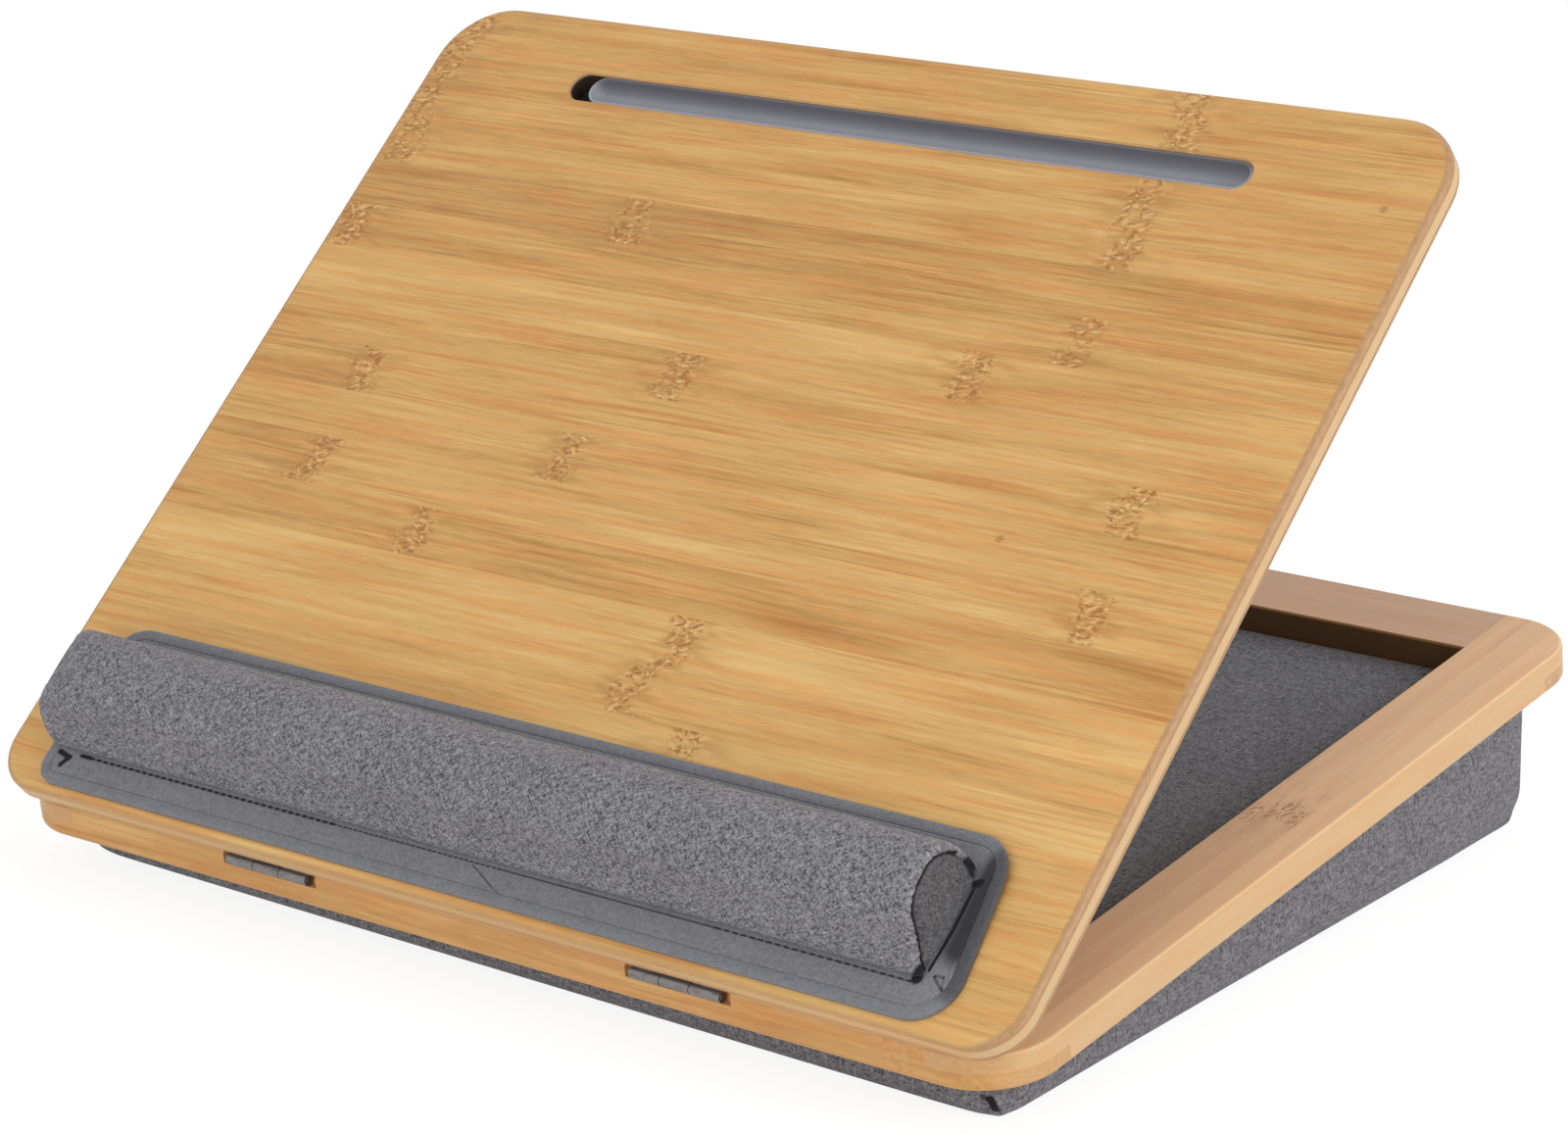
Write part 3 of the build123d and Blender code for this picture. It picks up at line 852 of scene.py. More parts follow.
@dataclass(frozen=True)
class Heather(Finish):
    """Woven heather cloth, laid out by the piece's UV map in millimetres.

    Attributes:
        dark: The darkest yarn.
        pale: The palest yarn.
        yarn: The width of one yarn, in millimetres.
        turn: How far the weave is turned on the piece, in degrees.
        contrast: How strongly single yarns differ.
        relief: How deep the weave is, in millimetres.
        fuzz: The sheen's weight.
        plane: The working plane of its painted shade marks.
        shade_marks: Its painted shade in creases and pockets, in soft bands and along stitches.
    """

    dark: Rgb = (0.060, 0.059, 0.066)
    pale: Rgb = (0.375, 0.366, 0.395)
    yarn: float = 0.62
    turn: float = 0.0
    contrast: float = 1.0
    relief: float = 0.16
    fuzz: float = 0.12
    plane: WorkPlane = GROUND
    shade_marks: tuple[ShadeMark, ...] = ()

    # The colour of painted shade in creases, seams and pockets.
    CREASE_SHADE = (0.008, 0.008, 0.010)

    def fill(self, graph: Graph) -> None:
        """Builds the shader: crossing yarns of mixed tone, mottled, with painted shade in creases,
        seams and pockets.

        Args:
            graph: The material's empty graph.
        """
        u, v = graph.cloth_places()
        turned = math.radians(self.turn)
        warp = u * math.cos(turned) + v * math.sin(turned)
        weft = v * math.cos(turned) - u * math.sin(turned)
        a, b = warp / self.yarn, weft / self.yarn
        over = ((a.floor() + b.floor()) * 0.5).wrapped().above(0.25)
        standing = graph.grain(a.floor() * 7.3, b / 5.5, 1.0, 1.0)
        lying = graph.grain(a / 5.5, b.floor() * 7.3, 9.0, 1.0)
        tone = standing * over + lying * (1.0 - over)
        mottle = graph.grain(warp / 2.6, weft / 2.6, 3.0, 2.0, 0.6)
        clouds = graph.grain(warp / 26.0, weft / 26.0, 6.0, 2.0)
        specks = graph.grain(warp / 1.15, weft / 1.15, 12.0, 1.0)
        paleness = (
            0.42
            + ((tone - 0.5) * 1.3 + (mottle - 0.5) * 0.75 + (specks - 0.5) * 1.10) * self.contrast
            + (clouds - 0.5) * 0.20
        )
        colour = graph.blend(paleness.clamped(), self.dark, self.pale)
        # Painted shade from the mesh's crease attribute and from the shade marks.
        crease = (graph.attribute(Workpiece.CREASE_SHADE_MAP) + self.painted_shade(graph)).clamped()
        colour = graph.blend(crease, colour, self.CREASE_SHADE)
        bow_a, bow_b = abs(a.wrapped() - 0.5), abs(b.wrapped() - 0.5)
        weave = 1.0 - (bow_a * (1.0 - over) + bow_b * over) * 1.3
        graph.surface(
            Base_Color=colour,
            Roughness=0.93,
            Specular_IOR_Level=0.2,
            Sheen_Weight=self.fuzz,
            Sheen_Roughness=0.5,
            Normal=graph.raised(weave + (mottle - 0.5) * 0.8 - crease * 3.0, self.relief, 0.8),
        )

    def painted_shade(self, graph: Graph) -> Operand:
        """How dark the painted shade of the marks is.

        Args:
            graph: The graph being filled.

        Returns:
            The painted shade's darkness, from zero up.
        """
        if not self.shade_marks:
            return 0.0
        place = graph.spot(self.plane)
        total: Operand = 0.0
        for shade_mark in self.shade_marks:
            away, share = graph.from_line(place, shade_mark.start, shade_mark.end)
            shade = away.ramped(shade_mark.width, shade_mark.width * 0.25) * shade_mark.depth
            if shade_mark.stitch:
                length = (Vector(shade_mark.end) - Vector(shade_mark.start)).length
                gap = (share * (length / shade_mark.stitch)).wrapped().above(0.62)
                shade = shade * (1.0 - gap * 0.55)
            total = shade + total
        return total


@dataclass(frozen=True)
class Steel(Finish):
    """Nickel-plated steel, brushed along the hinge.

    Attributes:
        colour: The metal's colour.
        roughness: How dull it is.
    """

    colour: Rgb = (0.235, 0.220, 0.218)
    roughness: float = 0.42

    TARNISH = (0.14, 0.125, 0.12)

    def fill(self, graph: Graph) -> None:
        """Builds the shader: fine brushing and a little tarnish.

        Args:
            graph: The material's empty graph.
        """
        x, y, z = graph.places(GROUND)
        brushed = graph.grain(x / 9.0, y / 0.18, z / 0.18, 2.0)
        stain = graph.grain(x / 7.0, y / 2.5, z / 2.5, 3.0, 0.65).ramped(0.44, 0.66)
        graph.surface(
            Base_Color=graph.blend(stain * 0.7, self.colour, self.TARNISH),
            Metallic=1.0,
            Roughness=self.roughness + (brushed - 0.5) * 0.25 + stain * 0.2,
            Normal=graph.raised(brushed, 0.02, 0.5),
        )


@dataclass(frozen=True)
class Moulding(Finish):
    """Matte moulded rubber or plastic with a fine grain.

    Attributes:
        colour: Its colour.
        roughness: How dull it is.
        pebble: The size of the moulded grain, in millimetres.
        plane: The working plane of its shaded side.
        shaded: How far up the plane its shade starts and is full, if it has one.
    """

    colour: Rgb
    roughness: float = 0.6
    pebble: float = 0.5
    plane: WorkPlane = GROUND
    shaded: tuple[float, float] | None = None

    def fill(self, graph: Graph) -> None:
        """Builds the shader: a pebbled surface with faint clouds in its colour.

        Args:
            graph: The material's empty graph.
        """
        x, y, z = graph.places(self.plane)
        pebbles = graph.grain(x / self.pebble, y / self.pebble, z / self.pebble, 2.0)
        clouds = graph.grain(x / 30.0, y / 30.0, z / 30.0, 2.0)
        darker = tuple(channel * 0.72 for channel in self.colour)
        colour = graph.blend(clouds * 0.5 + pebbles * 0.35, self.colour, darker)
        if self.shaded is not None:
            dusk = tuple(channel * 0.40 for channel in self.colour)
            colour = graph.blend(y.ramped(*self.shaded), colour, dusk)
        graph.surface(
            Base_Color=colour,
            Roughness=self.roughness + (pebbles - 0.5) * 0.12,
            Specular_IOR_Level=0.35,
            Normal=graph.raised(pebbles, 0.05, 0.5),
        )


# ---- Modelling -------------------------------------------------------------------------------


class Stock(Enum):
    """What a piece is started from."""

    BOX = "box"
    SHEET = "sheet"


class Element(Enum):
    """What is picked in edit mode."""

    POINT = "VERT"
    EDGE = "EDGE"
    FACE = "FACE"


class Workpiece:
    """A mesh piece: started from a primitive, shaped with the mesh tools, placed and dressed."""

    CLOTH_MAP = "cloth"
    # The point attribute that carries painted shade.
    CREASE_SHADE_MAP = "crease"
    # The cloth that is stuffed, and the number of frames that it takes to settle.
    STUFFED_CLOTH = {
        "quality": 6,
        "mass": 0.25,
        "tension_stiffness": 22.0,
        "compression_stiffness": 22.0,
        "bending_stiffness": 0.6,
        "use_pressure": True,
    }
    SETTLING = 20

    def __init__(
        self, name: str, stock: Stock, low: Sequence[float], high: Sequence[float]
    ) -> None:
        """Adds the primitive that fills the space between two corners.

        Args:
            name: The piece's name.
            stock: What it is started from.
            low: The lowest corner, in millimetres.
            high: The highest corner. A sheet lies at the low corner's height.
        """
        clear_selection()
        if stock is Stock.BOX:
            bpy.ops.mesh.primitive_cube_add(size=1.0)
        else:
            bpy.ops.mesh.primitive_plane_add(size=1.0)
        self.body = bpy.context.active_object
        self.body.name = name
        self.body.data.name = name
        span = [b - a for a, b in zip(low, high)]
        middle = [(a + b) / 2 for a, b in zip(low, high)]
        if stock is Stock.SHEET:
            span[2], middle[2] = 1.0 / MM, low[2]
        self.body.scale = [s * MM for s in span]
        self.body.location = [m * MM for m in middle]
        bpy.ops.object.transform_apply(location=True, rotation=True, scale=True)

    @contextmanager
    def picked(
        self, kind: Element, test: Callable[[object], bool] = lambda element: True
    ) -> Iterator[None]:
        """Opens edit mode with the elements that pass a test selected.

        Args:
            kind: What is picked.
            test: Whether a bmesh element is picked. All are if it is left out.

        Yields:
            Nothing, while edit mode is open.
        """
        bpy.context.view_layer.objects.active = self.body
        bpy.ops.object.mode_set(mode="EDIT")
        bpy.ops.mesh.select_mode(type=kind.value)
        bpy.ops.mesh.select_all(action="DESELECT")
        mesh = bmesh.from_edit_mesh(self.body.data)
        groups = {Element.POINT: mesh.verts, Element.EDGE: mesh.edges, Element.FACE: mesh.faces}
        for element in groups[kind]:
            if test(element):
                element.select_set(True)
        mesh.select_flush_mode()
        bmesh.update_edit_mesh(self.body.data)
        yield
        bpy.ops.object.mode_set(mode="OBJECT")

    def round_off(
        self, radius: float, segments: int, test: Callable[[bmesh.types.BMEdge], bool]
    ) -> None:
        """Rounds the edges that pass a test, by a radius in millimetres."""
        with self.picked(Element.EDGE, test):
            bpy.ops.mesh.bevel(offset=radius * MM, segments=segments, affect="EDGES")

    def modify(self, kind: str, **settings: object) -> None:
        """Adds a modifier and applies it.

        Args:
            kind: Its type.
            settings: Its settings by name.
        """
        modifier = self.body.modifiers.new(kind.title(), kind)
        for name, value in settings.items():
            setattr(modifier, name, value)
        self.apply(modifier)

    def apply(self, modifier: bpy.types.Modifier) -> None:
        """Applies a modifier.

        Args:
            modifier: One of the piece's own.
        """
        clear_selection()
        self.body.select_set(True)
        bpy.context.view_layer.objects.active = self.body
        bpy.ops.object.modifier_apply(modifier=modifier.name)

    def shape(self, rule: Rule) -> None:
        """Moves every point.

        Args:
            rule: From a point's place to its new one, both in millimetres.
        """
        for point in self.body.data.vertices:
            point.co = rule(point.co / MM) * MM
        self.body.data.update()

    def smooth_out(self) -> None:
        """Divides every face once and smooths the form."""
        self.modify("SUBSURF", levels=1, render_levels=1, subdivision_type="CATMULL_CLARK")

    def remesh(self, cell: float) -> None:
        """Rebuilds the closed form from even faces, of a size in millimetres."""
        self.modify("REMESH", mode="VOXEL", voxel_size=cell * MM)

    def inflate(self, pressure: float, most: float, held: Callable[[Vector], bool]) -> None:
        """Puffs the closed piece as cloth under pressure.

        Args:
            pressure: The air pressure in it.
            most: The furthest that any point may move, in millimetres.
            held: Whether a point, in millimetres, stays where it is.
        """
        before = [point.co.copy() for point in self.body.data.vertices]
        group = self.body.vertex_groups.new(name="held")
        group.add([i for i, co in enumerate(before) if held(co / MM)], 1.0, "REPLACE")
        cloth = self.body.modifiers.new("Cloth", "CLOTH")
        for name, value in self.STUFFED_CLOTH.items():
            setattr(cloth.settings, name, value)
        cloth.settings.uniform_pressure_force = pressure
        cloth.settings.vertex_group_mass = group.name
        cloth.settings.effector_weights.gravity = 0.0
        cloth.point_cache.frame_start = 1
        cloth.point_cache.frame_end = self.SETTLING
        for frame in range(1, self.SETTLING + 1):
            bpy.context.scene.frame_set(frame)
        self.apply(cloth)
        for point, start in zip(self.body.data.vertices, before):
            move = point.co - start
            if move.length > most * MM:
                point.co = start + move.normalized() * most * MM
        self.body.vertex_groups.clear()
        bpy.context.scene.frame_set(1)

    def lay_cloth(self, rule: Callable[[Vector, Vector], tuple[float, float]]) -> None:
        """Gives the piece its cloth map.

        Args:
            rule: From a corner's place in millimetres and its face's normal to a place on the
                cloth, in millimetres.
        """
        mesh = self.body.data
        layer = mesh.uv_layers.new(name=self.CLOTH_MAP)
        for face in mesh.polygons:
            normal = face.normal.copy()
            for corner in face.loop_indices:
                place = mesh.vertices[mesh.loops[corner].vertex_index].co / MM
                layer.data[corner].uv = rule(place, normal)

    def crease(self, rule: Callable[[Vector], float]) -> None:
        """Paints shade into the creases and seams.

        Args:
            rule: From a point's place in millimetres to its painted shade, from zero to one.
        """
        mesh = self.body.data
        layer = mesh.attributes.new(self.CREASE_SHADE_MAP, "FLOAT", "POINT")
        for i, point in enumerate(mesh.vertices):
            layer.data[i].value = max(0.0, min(1.0, rule(point.co / MM)))

    def place(self, matrix: Matrix) -> None:
        """Carries the mesh from its working plane to its place on the desk."""
        self.body.data.transform(matrix)
        self.body.data.update()

    def dress(self, finish: Finish, body: str, slot: str, smooth: bool = True) -> bpy.types.Object:
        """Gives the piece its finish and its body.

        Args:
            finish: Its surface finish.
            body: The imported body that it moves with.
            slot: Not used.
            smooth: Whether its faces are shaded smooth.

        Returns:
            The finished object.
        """
        for face in self.body.data.polygons:
            face.use_smooth = smooth
        self.body.data.materials.clear()
        self.body.data.materials.append(finish.material())
        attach(self.body, body)
        LOG.info("%s: %d faces on %s", self.body.name, len(self.body.data.polygons), body)
        return self.body


def clear_selection() -> None:
    """Deselects every object."""
    bpy.ops.object.select_all(action="DESELECT")


def extrude_up(height: float) -> None:
    """Extrudes what is selected straight up, by a height in millimetres."""
    bpy.ops.mesh.extrude_region_move(TRANSFORM_OT_translate={"value": (0, 0, height * MM)})


def ripple(place: Vector, cell: float, seed: float) -> float:
    """Smooth noise from minus one to one, with cells of a size in millimetres."""
    return noise.noise(place / cell + Vector((seed, -seed, 2.0 * seed)))


def eased(amount: float, low: float, high: float) -> float:
    """Zero at low, one at high, eased between them."""
    share = max(0.0, min(1.0, (amount - low) / (high - low)))
    return share * share * (3.0 - 2.0 * share)


def hump(amount: float, middle: float, reach: float) -> float:
    """One at the middle, easing to zero at a reach on each side."""
    return 1.0 - eased(abs(amount - middle), 0.0, reach)


# ---- The desk's pieces -----------------------------------------------------------------------


@dataclass
class Cushion:
    """The stuffed wedge under the tray.

    Attributes:
        sizes: The desk's sizes.
        corner_radius: Of its upright corners.
        slack_corner_radius: Of the front left corner, which is stuffed least.
        floor_round: Of its lower edge.
        slack: How much smaller it is cut than it ends.
        block_height: Of the block that it is cut from.
        voxel: The mesh's cell.
        pressure: How hard it is stuffed.
        swell: The furthest that a side swells.
        floor_hold: How far inside its edge the floor stays flat as it is stuffed.
        corner_hold: How far round the back corners it keeps its shape then.
        clearance: The gap under the tray board.
        front_lift: How far the front seam rises off the ground at the left end.
        long_waves: How far the sides' long waves go.
        short_waves: How far their short ones go.
        tuck: How far the front right corner's seam is tucked in.
        back_draw: How far the lower edge is drawn in at the back.
    """

    sizes: DeskSizes
    corner_radius: float = 10.0
    slack_corner_radius: float = 24.0
    floor_round: float = 2.5
    slack: float = 1.2
    block_height: float = 90.0
    voxel: float = 4.0
    pressure: float = 4.0
    swell: float = 5.0
    floor_hold: float = 12.0
    corner_hold: float = 11.0
    clearance: float = 0.3
    front_lift: float = 3.6
    long_waves: float = 0.8
    short_waves: float = 0.3
    tuck: float = 1.6
    back_draw: float = 5.0

    def build(self) -> bpy.types.Object:
        """Models the wedge, stuffs it and sews its corners.

        Returns:
            The cushion.
        """
        half_x = self.sizes.cushion_width / 2 - self.slack
        half_y = self.sizes.cushion_depth / 2 - self.slack
        piece = Workpiece(
            "cushion", Stock.BOX, (-half_x, -half_y, 0.0), (half_x, half_y, self.block_height)
        )
        for is_slack, radius in ((True, self.slack_corner_radius), (False, self.corner_radius)):
            piece.round_off(radius, 8, lambda e: self.upright(e) is is_slack)
        under = self.sizes.frame_top().raised(
            -self.sizes.frame_thickness - self.sizes.board_thickness
        )
        roof = under.raised(-self.clearance)
        with piece.picked(Element.FACE):
            bpy.ops.mesh.bisect(
                plane_co=roof.origin, plane_no=roof.normal(), use_fill=True, clear_outer=True
            )
        piece.round_off(self.floor_round, 4, lambda e: max(v.co.z for v in e.verts) < 1e-6)
        piece.remesh(self.voxel)
        down = roof.matrix().inverted()
        inner_x, inner_y = half_x - self.floor_hold, half_y - self.floor_hold
        corner_x, corner_y = half_x - self.corner_hold, half_y - self.corner_hold

        def held(place: Vector) -> bool:
            """Whether a point stays where it is as the cushion is stuffed.

            Args:
                place: The point, in millimetres.

            Returns:
                Whether it is on the roof, the middle of the floor or a back corner.
            """
            roofed = (down @ (place * MM)).z > -2.0 * MM
            inner = abs(place.x) < inner_x and abs(place.y) < inner_y
            corner = abs(place.x) > corner_x and place.y > corner_y
            return roofed or corner or (place.z < 3.0 and inner)

        piece.inflate(self.pressure, self.swell, held)
        piece.smooth_out()

        def settled(place: Vector) -> Vector:
            """Sews the corners, lifts the front seam and flattens the floor and the roof.

            Args:
                place: A point, in millimetres.

            Returns:
                Its new place.
            """
            place = self.sewn(place, half_x, half_y)
            local = down @ (place * MM)
            if local.z > 0:
                local.z = 0.0
                place = (down.inverted() @ local) / MM
            place.z = max(place.z, 0.0)
            return place

        piece.shape(settled)
        piece.lay_cloth(self.cloth)
        finish = Heather(
            "cushion_cloth", dark=(0.054, 0.053, 0.059), pale=(0.340, 0.332, 0.358), yarn=0.72,
            # Painted shade in the pucker at the tucked front right corner.
            shade_marks=(
                ShadeMark((195.0, -159.8, 7.0), (195.7, -158.6, 4.2), 1.8, 1.3),
                ShadeMark((192.6, -160.8, 7.8), (195.0, -159.8, 7.0), 1.1, 0.8),
                ShadeMark((195.7, -158.6, 4.2), (196.8, -157.4, 2.4), 0.9, 0.7),
            ),
        )
        made = piece.dress(finish, "base", "cushion_fabric")
        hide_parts("cushion_cover", "cushion_foam")
        return made

    @staticmethod
    def upright(edge: bmesh.types.BMEdge) -> bool | None:
        """Tells the block's corner edges apart.

        Args:
            edge: An edge of the block.

        Returns:
            Whether an upright edge is the slack one, or None for any other edge.
        """
        first, second = (point.co for point in edge.verts)
        if (first.xy - second.xy).length > 1e-6 or abs(first.z - second.z) < 0.05:
            return None
        return first.x < 0 and first.y < 0

    def sewn(self, place: Vector, half_x: float, half_y: float) -> Vector:
        """Where a point goes by the seams and the pull of the cloth.

        Args:
            place: The point, in millimetres.
            half_x: Half of the cut wedge's width.
            half_y: Half of its depth.

        Returns:
            Its new place.
        """
        place = place.copy()
        # The front seam rises off the ground, the more the further left.
        front = eased(-place.y, half_y - 34.0, half_y - 1.0)
        leftward = max(0.0, min(1.0, (172.0 - place.x) / 350.0))
        low = 1.0 - eased(place.z, 1.0, 12.0) * 0.9
        place.z += self.front_lift * leftward * front * low
        # The cloth waves on the sides, in long waves and short ones.
        wall = eased(max(abs(place.x) / half_x, abs(place.y) / half_y), 0.97, 1.0)
        waves = ripple(Vector((place.x, place.y, place.z * 0.5)), 42.0, 3.0) * self.long_waves
        waves += ripple(place, 13.0, 8.0) * self.short_waves
        outward = Vector((place.x / half_x, place.y / half_y, 0.0)).normalized()
        place += outward * waves * wall * eased(place.z, 1.5, 8.0)
        # It is tucked in at the front right corner's seam.
        away = (place - Vector((half_x - 3.5, -half_y - 1.0, 6.0))).length
        place -= outward * self.tuck * (1.0 - eased(away, 0.0, 6.0))
        # Its lower edge rounds under at the back.
        backward = eased(place.y, half_y - 60.0, half_y)
        under = 1.0 - eased(place.z, 0.0, 18.0)
        return place - outward * self.back_draw * backward * under * under * wall

    @staticmethod
    def cloth(place: Vector, normal: Vector) -> tuple[float, float]:
        """Lays the cloth round the sides, and flat above and below.

        Args:
            place: A point, in millimetres.
            normal: The way its face looks.

        Returns:
            Its place on the cloth.
        """
        if abs(normal.z) > 0.75:
            return place.x, place.y
        if abs(normal.x) > abs(normal.y):
            return place.y, place.z
        return place.x, place.z


@dataclass
class TrayLining:
    """The cloth that lies on the tray's floor.

    Attributes:
        sizes: The desk's sizes.
        clearance: The gap between its edge and the rails.
        lowest: Its lowest height over the tray board.
        thickness: The cloth's thickness.
        curl: How far its edges turn up.
        cuts: How often it is divided each way.
    """

    sizes: DeskSizes
    clearance: float = 0.3
    lowest: float = 0.05
    thickness: float = 0.7
    curl: float = 0.5
    cuts: int = 60

    def build(self) -> bpy.types.Object:
        """Lays the cloth, with its edges turned up a little at the rails.

        Returns:
            The lining.
        """
        sizes = self.sizes
        half = (sizes.frame_width - 2 * sizes.side_rail) / 2 - self.clearance
        front = sizes.end_rail + self.clearance
        back = sizes.frame_depth - sizes.end_rail - self.clearance
        low, high = (-half, front, self.lowest), (half, back, self.lowest)
        piece = Workpiece("lining_cloth", Stock.SHEET, low, high)
        with piece.picked(Element.FACE):
            bpy.ops.mesh.subdivide(number_cuts=self.cuts)

        def waved(place: Vector) -> Vector:
            """Lifts the cloth in faint waves and at its edges.

            Args:
                place: A point, in millimetres.

            Returns:
                Its new place.
            """
            edge = min(half - abs(place.x), place.y - front, back - place.y)
            lift = 0.12 * (1 + ripple(place, 55.0, 5.0)) + self.curl * (1 - eased(edge, 0.0, 7.0))
            return Vector((place.x, place.y, place.z + lift))

        piece.shape(waved)
        piece.modify("SOLIDIFY", thickness=self.thickness * MM, offset=1.0)
        piece.lay_cloth(lambda place, normal: (place.x, place.y))
        piece.place(sizes.frame_top().raised(-sizes.frame_thickness).matrix())
        finish = Heather(
            "lining", dark=(0.047, 0.050, 0.060), pale=(0.275, 0.288, 0.332), yarn=0.7, relief=0.10
        )
        made = piece.dress(finish, "base", "tray_felt")
        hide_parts("tray_lining")
        return made


# The rest's painted shade on the lid's top face, in creases, pockets, soft bands and along
# stitches: of the pad, of its tape, along the roll's front seam, and round its right end.
PAD_SHADE = (
    ShadeMark((-187.9, 15.9, 2.3), (-182.4, 14.5, 2.3), 1.5, 1.3),
    ShadeMark((-182.4, 14.5, 2.3), (-184.4, 11.2, 2.3), 1.5, 1.2),
    ShadeMark((1.5, 15.2, 2.3), (12.0, 10.1, 2.3), 0.50, 0.6),
    ShadeMark((12.0, 10.1, 2.3), (24.0, 4.6, 2.3), 0.50, 0.4),
    ShadeMark((180.9, 19.2, 2.3), (185.5, 15.7, 2.3), 0.8, 0.6),
    ShadeMark((181.2, 19.6, 2.3), (184.0, 19.8, 2.3), 0.9, 0.5),
    ShadeMark((184.0, 19.8, 2.3), (185.5, 15.7, 2.3), 0.6, 0.4),
    ShadeMark((184.5, 30.0, 2.3), (184.0, 58.0, 2.3), 9.0, 0.84),
)
TAPE_SHADE = (ShadeMark((189.0, 18.0, 2.3), (185.5, 60.0, 2.3), 9.0, 0.60),)
SEAM_SHADE = (
    ShadeMark((-177.5, 16.3, 2.4), (-173.0, 16.3, 2.4), 1.2, 1.2),
    ShadeMark((-173.0, 16.2, 2.4), (-60.0, 16.2, 2.4), 0.80, 1.1, 3.1),
    ShadeMark((-60.0, 16.2, 2.4), (12.0, 16.2, 2.4), 0.58, 0.9, 2.3),
    ShadeMark((12.0, 16.2, 2.4), (100.0, 16.2, 2.4), 0.55, 0.8),
    ShadeMark((100.0, 16.2, 2.4), (174.0, 16.0, 2.4), 0.62, 1.0, 3.3),
)
END_SHADE = (
    ShadeMark((178.2, 20.8, 2.4), (179.3, 34.0, 2.4), 0.8, 1.2),
    ShadeMark((179.3, 34.0, 2.4), (179.3, 49.5, 2.4), 0.8, 1.2),
    ShadeMark((175.6, 17.2, 2.6), (177.9, 19.2, 5.4), 2.6, 1.6),
    ShadeMark((174.6, 53.1, 17.7), (175.6, 54.4, 15.0), 1.5, 1.2),
    ShadeMark((177.1, 55.4, 8.6), (177.4, 54.0, 4.8), 2.6, 1.5),
    ShadeMark((178.9, 51.4, 2.4), (180.4, 52.2, 2.4), 1.7, 1.4),
)


